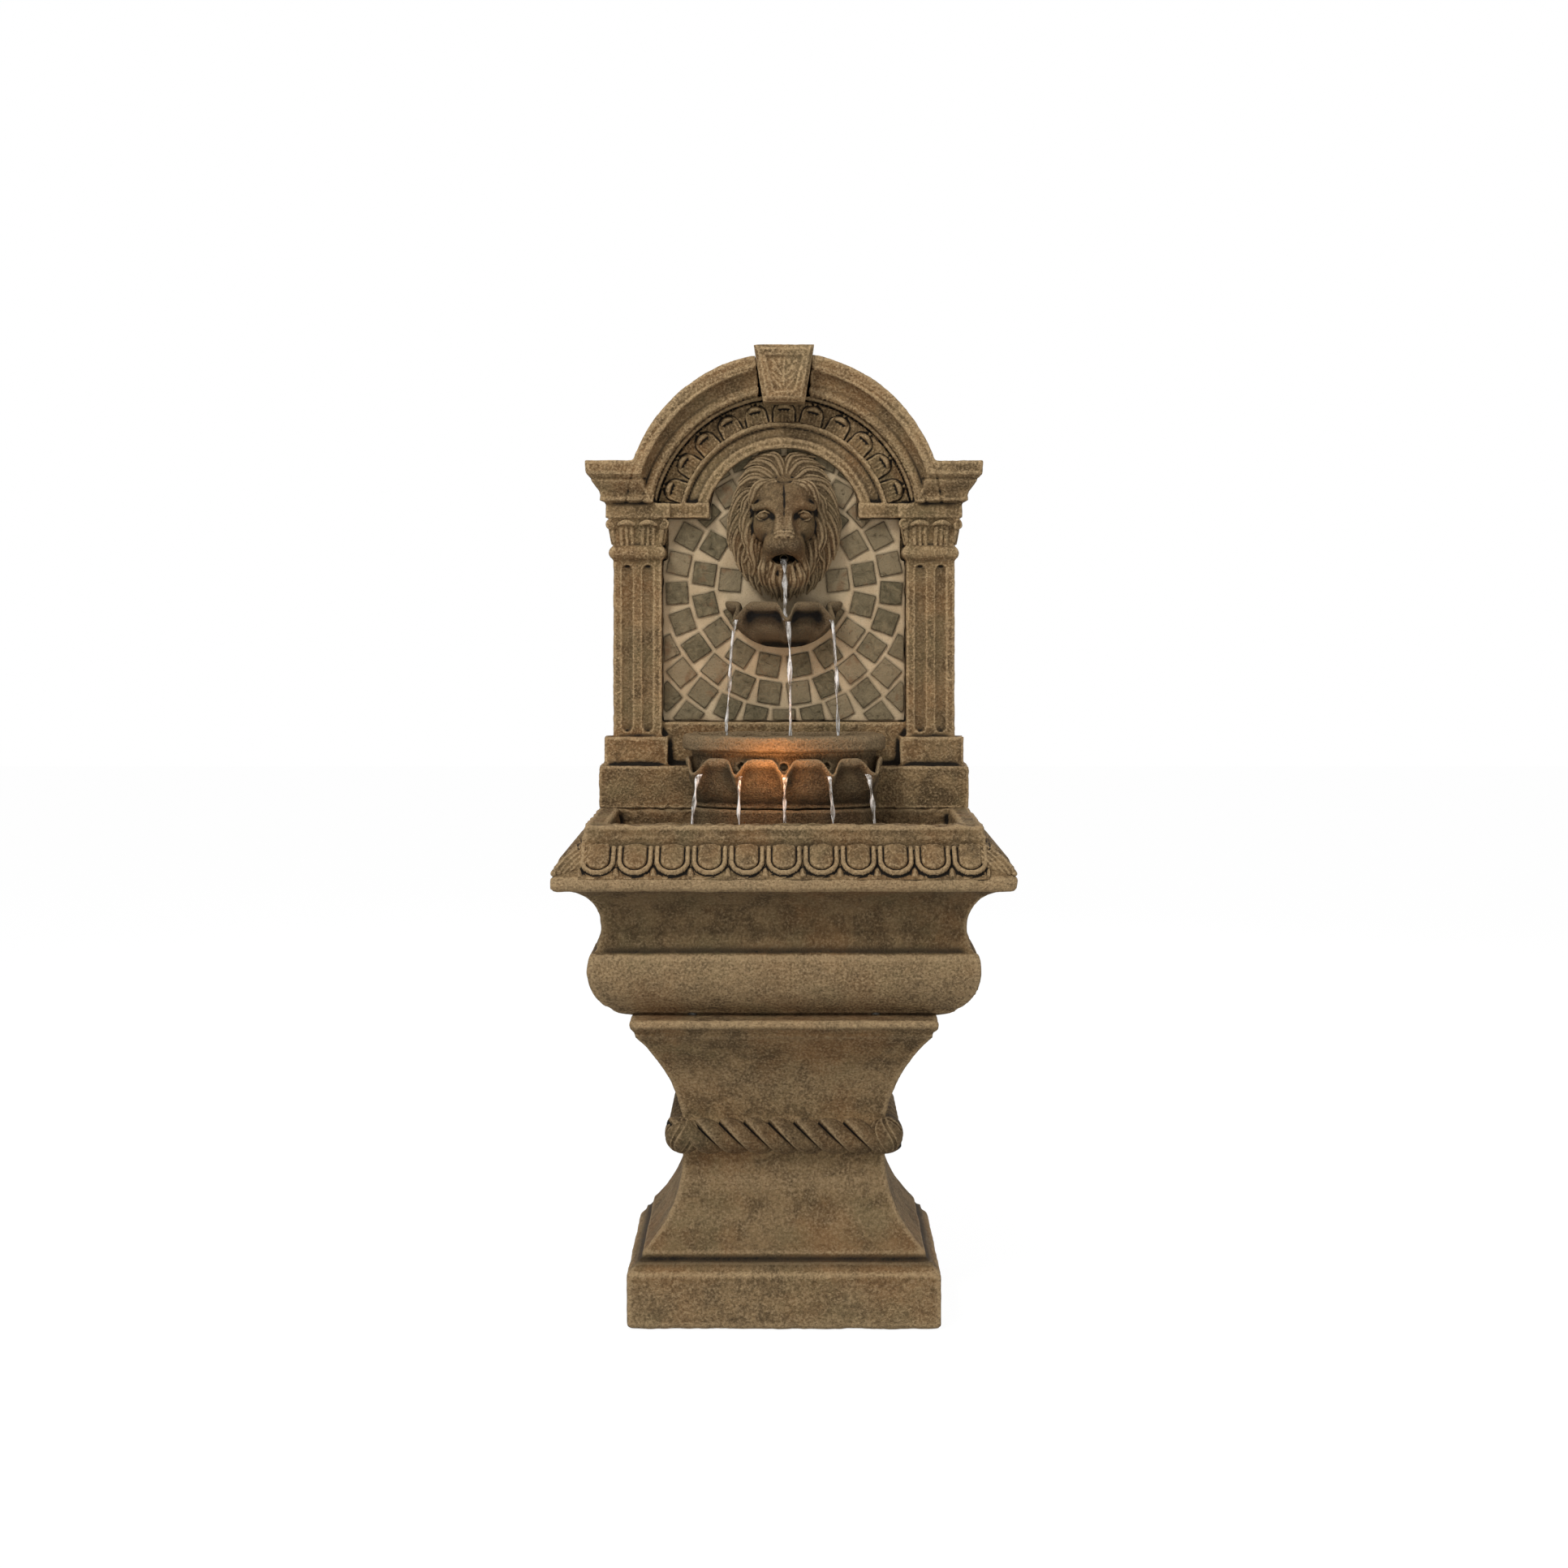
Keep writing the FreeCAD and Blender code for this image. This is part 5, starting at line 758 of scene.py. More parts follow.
def lowerArch(field):    # sets the arch's relief lower and wider than the solid has it, and lines it
    look = panelLook
    cut, x, y, z = field.window((-250, 60, look["springing"]), (250, 123, 1292))
    x, y, z = np.broadcast_arrays(x, y, z)
    up = z - look["archCentre"]
    radius = np.hypot(x, up)
    share = (radius - look["archGrow"]) / radius
    keep = np.maximum(rise(radius, look["blendIn"], look["blendOut"]), rise(np.abs(x), 178, 200))
    source = np.stack([x * share * (1 - keep) + x * keep, y,
                       (look["solidCentre"] + up * share) * (1 - keep) + z * keep], -1)
    field.value[cut] = field.sample(field.value, source.reshape(-1, 3)).reshape(radius.shape)
    for middle, deep in look["lines"]:
        field.value[cut] += deep * np.exp(-((radius - middle) / look["lineWide"]) ** 2) * rise(-y, -119, -114)
    bare = np.where((radius > look["bandIn"]) & (radius < look["bandOut"]), look["bandFace"] - y, -99)
    field.trim(cut, bare)    # the leaves are laid on afterwards
    across = np.abs(radius - look["fillet"]) - look["filletHalf"]
    fillet = np.maximum(across, np.maximum(look["filletFace"] - y, y - 124))
    field.merge(cut, fillet + 9 * (np.abs(x) > 186))


def makePanel():
    look = panelLook
    field = nodeField("back_panel", 2.0)
    lowerArch(field)
    cut, x, y, z = field.window((-330, 60, 1070), (330, 175, 1130))
    for level, deep in look["corniceLines"]:
        groove = deep * np.exp(-((z - level) / look["lineWide"]) ** 2)
        field.value[cut] += groove * (np.abs(x) > 192) * rise(-y, -160, -150)
    for sign in (-1, 1):
        for flute in look["fluteX"]:
            middle = sign * flute
            low, high = (middle - 9, 90, look["fluteLow"]), (middle + 9, 130, look["fluteHigh"])
            cut, _, y, _ = field.window(low, high)
            fill = np.maximum(look["fluteFace"] - y, y - 125)
            field.merge(cut, fill)    # shallower than in the solid
    coarse = roughStone(0.35, 0.4, 21, bands=((648, 745, 0.8),))
    # painted light with wear: the arch's upper part made paler
    paintedLightBands = ((1085, 1300, -0.3),)
    piece = castFromField(field, "stone_panel", panelStone, coarse, dirtAndShade=(6.0, 2.6), paintedLightBands=paintedLightBands)
    return dress(piece, "back_panel")


archLeaf = {"half": 15.5, "shoulder": 13, "tip": 14.2, "rise": 2.6, "dish": 1.4, "dishHalf": 15,
            "ribs": (-8.5, -2.8, 2.8, 8.5), "ribRise": 1.2, "ribWide": 1.1, "lipHalf": 10.5, "lipUp": 22.5,
            "lipTall": 4.4, "earRise": 3.0, "earWide": 2.2}


def makeArchLeaves():
    look = panelLook
    mean = (look["bandIn"] + look["bandOut"]) / 2
    half = math.radians(look["leafStep"]) * mean / 2
    tall = look["bandOut"] - look["bandIn"]
    u, v = np.linspace(-half, half, 37), np.linspace(0, tall, 29)
    across, up = np.meshgrid(u, v, indexing="ij")
    shoulder = np.clip(up - archLeaf["shoulder"], 0, 14) / archLeaf["tip"]
    wide = archLeaf["half"] * np.sqrt(np.clip(1 - shoulder ** 2, 0, 1)) + 1.5 * rise(-up, -12, 0)
    dish = archLeaf["rise"] + archLeaf["dish"] * (across / archLeaf["dishHalf"]) ** 2
    body = rise(wide - np.abs(across), -0.4, 1.6) * dish
    ribs = sum(np.exp(-((across - c) / archLeaf["ribWide"]) ** 2) for c in archLeaf["ribs"])
    ribs = archLeaf["ribRise"] * ribs * rise(-up, -20, -14)
    curl = (up - archLeaf["lipUp"] + 0.03 * across ** 2) / archLeaf["lipTall"]
    size = archLeaf["lipHalf"]
    lip = size * np.sqrt(np.clip(1 - (across / size) ** 2 - curl ** 2, 0, 1))
    gap = half - np.abs(across)
    ears = archLeaf["earRise"] * np.exp(-(gap / archLeaf["earWide"]) ** 2) * rise(-up, -15, -4)
    height = np.maximum(np.maximum(body + ribs * (body > 1), lip), ears)
    height += 0.3 * ripple(np.stack([across, up, height], -1).reshape(-1, 3), 4.0, 9).reshape(height.shape)

    def bend(points):    # flat leaf onto its place above the arch centre, facing the front
        radius = look["bandIn"] + points[:, 1]
        angle = points[:, 0] / mean
        face = look["bandFace"] - points[:, 2]
        return np.stack([radius * np.sin(angle), face, radius * np.cos(angle)], -1)

    leaf = reliefUnit("archLeaf", u, v, height, 2.0, bend, dirtAndShade=1.3, rubAndHighlight=1.4)
    grow = Growth("archLeaves")
    step = grow.size("Leaf Step", math.radians(look["leafStep"]))
    count = grow.size("Leaves", look["leafCount"], "NodeSocketInt")
    turn = grow.vector(0.0, (grow.index() - (look["leafCount"] - 1) / 2) * step, 0.0)
    grow.scatter(leaf, count, grow.vector(0.0, 0.0, look["archCentre"] * 0.001), turn)
    piece = grow.make("arch_leaves", panelStone)
    discard(leaf)
    return dress(piece)


capital = {"voxel": 1.1, "half": 52, "tall": 44, "lean": 15.5, "lipHalf": 11, "curlAt": 37, "curlSize": 7.5,
           "curlShrink": 1.15, "flankDeep": 26}


def makeCapital(sign, name):
    look = panelLook
    middle, face, top = look["pilaster"], look["shaftFace"], look["capitalTop"]
    half = capital["half"]
    low = (middle - half, face - 22, top - capital["tall"])
    field = Field(low, (middle + half, face + 40, top + 2), capital["voxel"])
    bow = np.linspace(-1, 1, 9)
    for lean in (-capital["lean"], capital["lean"]):    # two leaves with curled lips
        for k in (-1, 0, 1):
            foot = (middle + lean * 0.93 + k * 7.5, face + 2.5, top - 39)
            head = (middle + lean + k * 7.0, face - 3.5, top - 10)
            field.strand([foot, head], (3.2, 3.6), 1.2)
        lip = [(middle + lean + c * capital["lipHalf"], face - 9.5 + 3.5 * c * c, top - 6.5 - 3.0 * c * c)
               for c in bow]
        field.strand(lip, 3.9 - 1.4 * bow ** 2, 1.0)
    angle = np.linspace(0, 4.6, 13)
    size = capital["curlSize"] - capital["curlShrink"] * angle
    for side in (-1, 1):    # corner curls
        curl = np.stack([middle + side * (capital["curlAt"] + size * np.sin(angle)), np.full(13, face - 5.0),
                         top - 10 + size * np.cos(angle)], -1)
        field.strand(curl, 2.5, 0.8)
        stalk = [(middle + side * 33, face + 2, top - 34), (middle + side * 36, face - 3, top - 14)]
        field.strand(stalk, (2.5, 3.4), 1.0)
        field.ball((middle + side * capital["curlAt"], face - 5, top - 11), (5.5, 3.0, 5.5), 1.0)
        for back in np.linspace(0, capital["flankDeep"], 5)[1:]:    # leaves round the capital's flank
            leaf = [(middle + side * 35, face + back, top - 36), (middle + side * 39, face + back, top - 9)]
            field.strand(leaf, (2.6, 3.6), 1.0)
    if sign < 0:
        mirror(field)
    return dress(castFromField(field, name, panelStone, roughStone(0.2, 0.2, 31)))


keystone = {"voxel": 1.3, "face": 54.25}
sprig = (((0, 1238), (0, 1262), (1, 1276)), ((0, 1243), (-10, 1249), (-17, 1259)),
         ((0, 1243), (10, 1249), (17, 1259)), ((0, 1250), (-8, 1258), (-12, 1269), (-18, 1274)),
         ((0, 1250), (8, 1258), (12, 1269), (18, 1274)),
         ((-16, 1249), (-6, 1238), (0, 1229), (6, 1238), (16, 1249)))    # stems, across and up
buds = ((0, 1268, 4.5, 8), (-13, 1262, 4.0, 5.0), (13, 1262, 4.0, 5.0), (-6, 1270, 3.0, 5.5),
        (7, 1271, 3.0, 5))    # across, up, wide, tall


def makeKeystone():
    field = nodeField("keystone", keystone["voxel"])
    floor = keystone["face"]
    for line in sprig:
        points = [(x, floor, z) for x, z in line]
        field.strand(points, np.linspace(2.3, 1.3, len(points)), 0.6)
    for x, z, wide, tall in buds:
        field.ball((x, floor + 0.4, z), (wide, 3.4, tall), 0.8)
    # painted light with wear: the keystone's upper part made paler
    paintedLightBands = ((1150, 1300, -0.35),)
    piece = castFromField(field, "stone_keystone", panelStone, roughStone(0.3, 0.2, 37), paintedLightBands=paintedLightBands)
    return dress(piece, "keystone")


makePanel()
makeArchLeaves()
makeCapital(1, "capital_right")
makeCapital(-1, "capital_left")
makeKeystone()


# lion mask

lion = {"back": 124.85, "middle": 1046.0, "maneHalf": 84.0, "maneTall": 106.0, "strand": 2.8, "wide": 1.07,
        "voxel": 1.0}
maneLocks = {    # paths of the right side's locks, across and up, from the face outwards
    "crown": [[(1.5, 1108), (4, 1127), (13, 1140), (28, 1145), (44, 1141)],
              [(4, 1104), (11, 1121), (24, 1132), (42, 1134), (57, 1126)],
              [(8, 1101), (19, 1114), (34, 1122), (51, 1120), (65, 1109)],
              [(16, 1098), (28, 1107), (43, 1110), (58, 1104), (70, 1092)]],
    "side": [[(24, 1097), (40, 1103), (57, 1099), (69, 1085), (75, 1069)],
             [(33, 1089), (50, 1091), (65, 1081), (74, 1064), (78, 1047)],
             [(39, 1079), (56, 1078), (69, 1064), (76, 1046), (77, 1028)],
             [(43, 1067), (58, 1063), (70, 1047), (75, 1028), (75, 1011)],
             [(45, 1055), (58, 1048), (67, 1031), (71, 1012), (69, 996)],
             [(45, 1043), (56, 1033), (63, 1015), (64, 997), (61, 981)],
             [(43, 1031), (52, 1018), (56, 1000), (56, 983), (51, 967)],
             [(39, 1017), (47, 1002), (49, 985), (47, 970), (41, 956)],
             [(35, 1005), (40, 989), (40, 973), (37, 959), (31, 947)]],
    "inner": [[(29, 1094), (42, 1089), (52, 1076), (57, 1059), (64, 1045)],
              [(40, 1076), (50, 1065), (56, 1047), (55, 1029), (63, 1014)],
              [(41, 1058), (49, 1045), (52, 1027), (49, 1009), (56, 993)],
              [(38, 1040), (44, 1025), (45, 1007), (41, 990), (46, 974)],
              [(33, 1023), (37, 1007), (37, 990), (33, 975), (36, 961)],
              [(29, 1008), (32, 993), (30, 977), (26, 963), (28, 950)]],
    "temple": [[(12, 1104), (26, 1099), (36, 1087), (41, 1071)],
               [(21, 1105), (35, 1097), (44, 1083), (48, 1065)]],
    "beard": [[(26, 1000), (30, 982), (27, 964), (23, 948)], [(19, 990), (23, 973), (19, 957), (17, 943)],
              [(12, 986), (14, 968), (10, 953), (9, 940)], [(4, 985), (5.5, 966), (2.5, 952), (2.5, 939)]],
}
maneStand = {"crown": 2.0, "side": 0.0, "inner": 5.0}    # how much a lock arches out
lockStand = {"beard": (61, 61, 45, 20), "temple": (62, 69, 65, 52)}    # how far these stand out, root to tip
lionShade = ((34, 1036, 9, 15, 0.26), (25, 1057, 12, 7, 0.2), (0, 995, 22, 5, 0.4),
             (0, 1082, 1.4, 30, 0.25))    # painted shade: across, up, wide, tall, amount


def curve(points, count=17):    # a smooth path through a few points
    points = np.array(points, float)
    ends = np.vstack([2 * points[0] - points[1], points, 2 * points[-1] - points[-2]])
    place = np.linspace(0, len(points) - 1, count)
    k = np.minimum(place.astype(int), len(points) - 2)
    t = (place - k)[:, None]
    a, b, c, d = (ends[k + i] for i in range(4))
    bent = (2 * a - 5 * b + 4 * c - d) * t ** 2
    return 0.5 * (2 * b + (c - a) * t + bent + (3 * b - a - 3 * c + d) * t ** 3)


def maneOut(x, z):    # how far the mane stands out from the wall
    room = 1 - (x / lion["maneHalf"]) ** 2 - ((z - lion["middle"]) / lion["maneTall"]) ** 2
    return 4 + 43 * np.sqrt(np.clip(room, 0.004, 1))


def makeLion():
    field = Field((-94, 18, 928), (94, lion["back"] + 3, 1154), lion["voxel"])

    def at(x, out, z):
        return x * lion["wide"], lion["back"] - out, z

    def mass(x, out, z, wide, deep, tall, blend=6.0, carve=False):    # on both sides when off the middle
        for side in (1, -1) if x else (1,):
            field.ball(at(side * x, out, z), (wide * lion["wide"], deep, tall), blend, carve)

    def ridge(points, radii, blend=1.5, carve=False):
        for side in (1, -1):
            field.strand([at(side * x, out, z) for x, out, z in points], radii, blend, carve)

    def lock(path, side, random, lift=0.0, stand=None):    # strands side by side that meet at the tip
        path = np.array(path, float) + random.uniform(-1.4, 1.4, (len(path), 2))
        flat = curve(path)
        run = np.gradient(flat, axis=0)
        run /= np.linalg.norm(run, axis=1)[:, None] + 1e-9
        place = np.linspace(0, 1, len(flat))
        gap = lion["strand"] * 1.65 * (0.6 + 0.6 * np.sin(place * math.pi * 0.9)) * (1 - place ** 3)
        thick = lion["strand"] * (0.7 + 0.4 * np.sin(place * math.pi)) * (1 - 0.35 * place ** 2)
        height = random.uniform(-4.0, 4.4)
        for k in (-1, 0, 1):
            x = flat[:, 0] + k * gap * -run[:, 1]
            z = flat[:, 1] + k * gap * run[:, 0]
            if stand is None:
                out = maneOut(x, z)
            else:
                out = np.interp(place, np.linspace(0, 1, len(stand)), stand)
            proud = 2.2 if k == 0 else random.uniform(-1.6, 0.4)    # the middle strand stands out
            out = out + (lift + height) * np.sin(place * math.pi) + proud
            line = np.stack([side * x, lion["back"] - out, z], -1)
            field.strand(line, thick * (1.1 if k == 0 else 0.9), 0.25)

    mass(0, 4, 1052, 62, 36, 86)
    mass(0, 0, 1048, 71, 25, 97)
    mass(0, 16, 975, 34, 22, 30, 8)
    mass(0, 34, 971, 23, 19, 21, 6)    # behind the beard
    for side in (1, -1):
        random = np.random.default_rng(12 + side)
        for kind, paths in maneLocks.items():
            for path in paths:
                lock(path, side, random, maneStand.get(kind, 0.0), lockStand.get(kind))
    mass(0, 44, 1069, 41, 34, 37)    # skull
    mass(0, 41, 1104, 15, 11, 9, 5)    # hairline
    mass(16, 58, 1083, 20, 19, 20)    # forehead
    mass(0, 56, 1045, 29, 30, 34, 8)
    mass(25, 48, 1044, 15.5, 24, 22)    # cheeks
    ridge([(7.5, 75, 1078), (7.0, 81, 1054), (6.8, 86, 1038)], (8.0, 8.5, 8.5), 5)    # bridge
    mass(11.5, 72, 1017.5, 15, 20, 15.5, 6)    # muzzle
    mass(0, 76, 1021, 17, 17, 14, 6)
    mass(20, 58, 1008, 7.5, 15, 13, 8)    # jowls
    ridge([(4, 80, 1064), (22, 78, 1072.5), (38, 65, 1068.5)], (4.5, 6.2, 4.4), 5)    # brows
    mass(26, 84, 1057.5, 11.5, 11, 7.6, 3.0, carve=True)    # sockets, eyes and lids
    mass(16.5, 86, 1055, 5, 9, 6.5, 4, carve=True)
    mass(25.5, 67.6, 1057.5, 9.4, 9, 5.8, 0.8)
    upperLid = [(15, 72, 1055), (19.5, 75.5, 1061.3), (25, 77, 1063.6), (31, 73.5, 1061.4),
                (36.5, 66, 1056.5)]
    ridge(upperLid, (1.1, 1.4, 1.6, 1.4, 1.1), 1.2)
    lowerLid = [(15, 72, 1055), (20, 75, 1052), (26, 75.3, 1050.6), (32, 71.5, 1051.6), (36.5, 66, 1056.5)]
    ridge(lowerLid, 1.0, 1.4)
    mass(21, 88, 1046, 7.5, 11.0, 10, 8, carve=True)    # hollow beside the bridge
    mass(0, 87.2, 1029.5, 12.5, 10, 7, 1.0)    # nose
    mass(8.8, 85.2, 1027.5, 5.8, 9.5, 5.2, 1.0)
    ridge([(0, 95.8, 1035.2), (8, 94.3, 1035.2), (12.8, 90, 1032.2)], 1.5, 0.9)    # flat top edge of the nose
    mass(6.4, 97.5, 1026.2, 3.3, 5, 2.4, 0.8, carve=True)
    ridge([(0, 95.5, 1022), (0, 91.5, 1005)], 1.4, 1.0, carve=True)
    mass(0, 46, 984.5, 22, 19, 11.5, 4)    # chin, mouth and lower lip
    mass(0, 82, 995.5, 17, 30, 5.2, 3.0, carve=True)
    mass(0, 60, 996.5, 9, 20, 5.6, 1.0, carve=True)
    lowerLip = [(0, 63.5, 987.5), (9, 62.5, 988.8), (15, 59, 993), (18.5, 55, 1000)]
    ridge(lowerLip, (2.2, 2.2, 2.0, 1.7), 2.0)
    cut, x, _, z = field.window((-6, 20, 1042), (6, lion["back"], 1104))
    line = x - 0.7 * np.sin(z * 0.13)
    furrow = 0.75 * np.exp(-(line / 1.3) ** 2) * rise(z, 1048, 1066) * rise(-z, -1104, -1096)
    field.value[cut] += furrow    # down the forehead
    field.value = np.maximum(field.value, field.axes[1][None, :, None] - lion["back"])
    fine = roughStone(0.14, 0.15, 41)
    piece = castFromField(field, "stone_lion", maskStone, fine, dirtAndShade=(4.0, 0.8), deep=(12.0, 9.0))
    points, _ = trianglesOf(piece)
    x, z = np.abs(points[:, 0]), points[:, 2]
    face = rise(-np.hypot(x / 50, (z - 1050) / 64), -1.05, -0.8) * (points[:, 1] < 84)
    shade = sum(amount * np.exp(-((x - across) / wide) ** 2 - ((z - up) / tall) ** 2)
                for across, up, wide, tall, amount in lionShade) * face
    rubAndHighlight = 0.4 * face * np.exp(-(x / 17) ** 2 - ((z - 1036) / 34) ** 2)    # painted highlight on the bridge and the muzzle
    # painted shade from lionShade on the face, the face's wash lessened, the mane darker evenly
    changes = {"shadeAndWash": lambda value: value * (1.7 - 1.3 * face) + 0.21 * (1 - face) + shade,
               "wearAndHighlight": lambda value: value * (0.85 - 0.25 * face) + rubAndHighlight}
    for name, change in changes.items():
        layer = piece.data.attributes[name].data
        value = np.empty(len(points), np.float32)
        layer.foreach_get("value", value)
        layer.foreach_set("value", change(value).astype(np.float32))
    return dress(piece, "lion_mask")


makeLion()


# mosaic: slate tiles in a grout bed

slate = {"voxel": 1.15, "limit": 150000, "edgeIn": -1.9, "edgeOut": -0.2}
grout = {"voxel": 2.0, "limit": 120000, "dirtShadeReach": 2.4}


def slateFinish():
    f = Finish("slateTiles", Specular_IOR_Level=0.18)
    lot = f.attribute("lot")
    cleft = f.noise(75, 6, 0.72, warp=0.9)
    grain = f.noise(420, 3, 0.6)
    rust = f.step(f.noise(38, 3) + (lot - 0.5) * 0.22, 0.58, 0.72)
    colour = f.mix(f.step(lot, 0.1, 0.9), tone(112, 102, 77), tone(166, 147, 115))
    colour = f.mix(f.step(cleft, 0.42, 0.66) * 0.6, colour, tone(164, 146, 112))
    colour = f.mix(rust * 0.6, colour, tone(142, 106, 74))
    colour = f.mix(f.step(cleft, 0.46, 0.3) * 0.85, colour, tone(70, 61, 43))
    colour = f.mix(f.step(grain, 0.42, 0.28) * 0.3, colour, tone(64, 56, 40))
    # dark rim round each tile: dirt in the joint with painted shade
    colour = f.mix(f.attribute("edge").clipped() * 0.8, colour, tone(40, 33, 22))
    normal = f.bump(cleft * 0.75 + grain * 0.25, 0.005, 0.9)
    return f.feed(Base_Color=colour, Roughness=0.85 - cleft * 0.25, Normal=normal)


def groutFinish():
    f = Finish("groutBed", Specular_IOR_Level=0.2)
    sand = f.noise(520, 3, 0.7)
    colour = f.mix(f.step(f.noise(24, 4), 0.35, 0.7), tone(182, 160, 127), tone(202, 180, 146))
    colour = f.mix(f.step(sand, 0.46, 0.32) * 0.5, colour, tone(120, 100, 72))
    # dark ring round the tiles: dirt in the joints with painted shade
    colour = f.mix(f.attribute("dirtAndShade").clipped() * 0.6, colour, tone(66, 54, 36))
    return f.feed(Base_Color=colour, Roughness=0.95 - sand * 0.1, Normal=f.bump(sand, 0.0016, 0.7))


def islandMiddles(thing):    # middle of each separate solid of a node, in millimetres
    points, triangles = trianglesOf(thing)
    merged = np.unique(np.round(points, 2), axis=0, return_inverse=True)[1].reshape(-1)
    links = merged[triangles.astype(int)]
    label = np.arange(merged.max() + 1)
    while True:    # the lowest label spreads over each solid
        least = label[links].min(1)
        fresh = label.copy()
        for i in range(3):
            np.minimum.at(fresh, links[:, i], least)
        if (fresh == label).all():
            break
        label = fresh[fresh]
    owner = label[merged]
    return np.array([points[owner == k].mean(0) for k in np.unique(owner)])


def makeMosaic():
    field = nodeField("slate_tiles", slate["voxel"])
    middles = islandMiddles(nodes["slate_tiles"])
    wavy = roughStone(0.3, 0.25, 51)
    tiles = castFromField(field, "mosaic_tiles", slateFinish(), wavy, limit=slate["limit"])
    points, _ = trianglesOf(tiles)
    nearest = ((points[:, None, ::2] - middles[None, :, ::2]) ** 2).sum(2).argmin(1)
    giveAttribute(tiles, "lot", np.random.default_rng(8).random(len(middles))[nearest])
    layers = field.value.shape[1]
    plan = field.value[:, layers // 2][:, None].repeat(layers, axis=1)    # the tiles as seen from the front
    # nearness to the tile's outline seen from the front, for its dark rim of dirt and painted shade
    giveAttribute(tiles, "edge", rise(field.sample(plan, points), slate["edgeIn"], slate["edgeOut"]))
    dress(tiles, "slate_tiles", slot="slate")
    bedField = nodeField("mosaic_bed", grout["voxel"])
    sandy = roughStone(0.15, 0.2, 57)
    bed = castFromField(bedField, "grout_bed", groutFinish(), sandy, limit=grout["limit"])
    points, _ = trianglesOf(bed)
    inside = ((points > [a[1] for a in field.axes]) & (points < [a[-2] for a in field.axes])).all(1)
    # nearness to the tiles, for the grout's dark ring of dirt and painted shade
    near = np.clip(1 - field.sample(field.value, points) / grout["dirtShadeReach"], 0, 1)
    giveAttribute(bed, "dirtAndShade", np.where(inside, near, 0))
    dress(bed, "mosaic_bed", slot="grout")


# collector drum, petal bowls and pump cover

drum = {"front": -0.15, "half": 128.0, "corner": 45.0, "bow": 220.0, "wall": 124.85}
cover = {"voxel": 2.4, "limit": 90000, "trim": 1.6}
petal = {"outer": 19, "roll": 6, "inner": 8, "rollAt": 20.5, "rollWide": 2.6}    # points of a section
spill = {"spouts": (-108.0, -58.0, 0.0, 58.0, 108.0), "foot": 659.0, "rim": 722.0, "notch": 20.0,
         "reach": 19.0, "pour": 12.0, "spoutWide": 8.5, "thick": 6.5, "steps": 241, "crease": 3.6,
         "creaseAt": 0.8, "grime": 0.1, "footOut": -2, "power": 1.9, "floor": (-5, 668.0), "sunk": -6,
         "fade": (-84, -52)}
basket = {"spouts": (-56.0, 3.0, 56.0), "foot": 873.0, "rim": 934.0, "notch": 22.0, "radius": 71.0,
          "pour": 15.0, "spoutWide": 6.6, "thick": 9.0, "steps": 141, "ear": 88.0, "crease": 5.0,
          "creaseAt": 0.8, "grime": 0.34, "footOut": 10, "power": 2.2, "floor": (6, 882.0), "span": 92,
          "earSpan": (62, 80)}


def drumOutline(steps):    # plan of the drum's outer face: bowed front, round corners, straight flanks
    bowX = drum["half"] - drum["corner"]
    turn = math.asin(bowX / (drum["bow"] - drum["corner"]))
    bowCentre = drum["front"] + drum["bow"]
    cornerY = bowCentre - (drum["bow"] - drum["corner"]) * math.cos(turn)
    flankRun = drum["wall"] - cornerY
    cornerRun = drum["corner"] * (math.pi / 2 - turn)
    bowRun = drum["bow"] * turn
    total = flankRun + cornerRun + bowRun
    points, outs = [], []
    for place in np.linspace(-total, total, steps):
        side, rest = math.copysign(1, place), abs(place)
        centre, radius = (bowX, cornerY), drum["corner"]
        if rest < bowRun:
            angle, centre, radius = rest / drum["bow"], (0, bowCentre), drum["bow"]
        elif rest < bowRun + cornerRun:
            angle = turn + (rest - bowRun) / drum["corner"]
        else:
            angle, centre = math.pi / 2, (bowX, cornerY + rest - bowRun - cornerRun)
        out = np.array((side * math.sin(angle), -math.cos(angle)))
        points.append(np.array((side * centre[0], centre[1])) + out * radius)
        outs.append(out)
    return np.array(points), np.array(outs)


def sweptShell(name, stations, outs, sections, material, grime):
    # one closed section at each station of a plan
    n, m = sections.shape[:2]
    points = np.empty((n, m, 3))
    points[:, :, :2] = stations[:, None] + outs[:, None] * sections[:, :, :1]
    points[:, :, 2] = sections[:, :, 1]
    grid, _, quads = tube(n, m)
    ends = [grid[0][None], grid[-1][None, ::-1]]
    flat = points.reshape(-1, 3)
    flat = flat + 0.5 * ripple(flat, 11.0, 61)[:, None] * np.repeat(np.c_[outs, np.zeros(n)], m, axis=0)
    piece = meshPiece(name, flat, [quads, *ends], material)
    around = softened(np.tile(sections[:, :, 0], (1, 3)), 4)
    dip = around[:, m:2 * m] - sections[:, :, 0]
    litRim = np.exp(-((np.arange(m) - petal["rollAt"]) / petal["rollWide"]) ** 2)    # painted highlight: the rim's top is made pale
    # painted shade in the creases and the grime evenly, both left off the pale rim
    giveAttribute(piece, "shadeAndWash", ((np.clip(dip / 4.0, 0, 0.3) + grime) * (1 - litRim)).ravel())
    giveAttribute(piece, "wearAndHighlight", (np.clip(-dip / 3.0, 0, 1.2) + 0.8 * litRim).ravel())
    print(name, "faces", len(quads))
    return piece


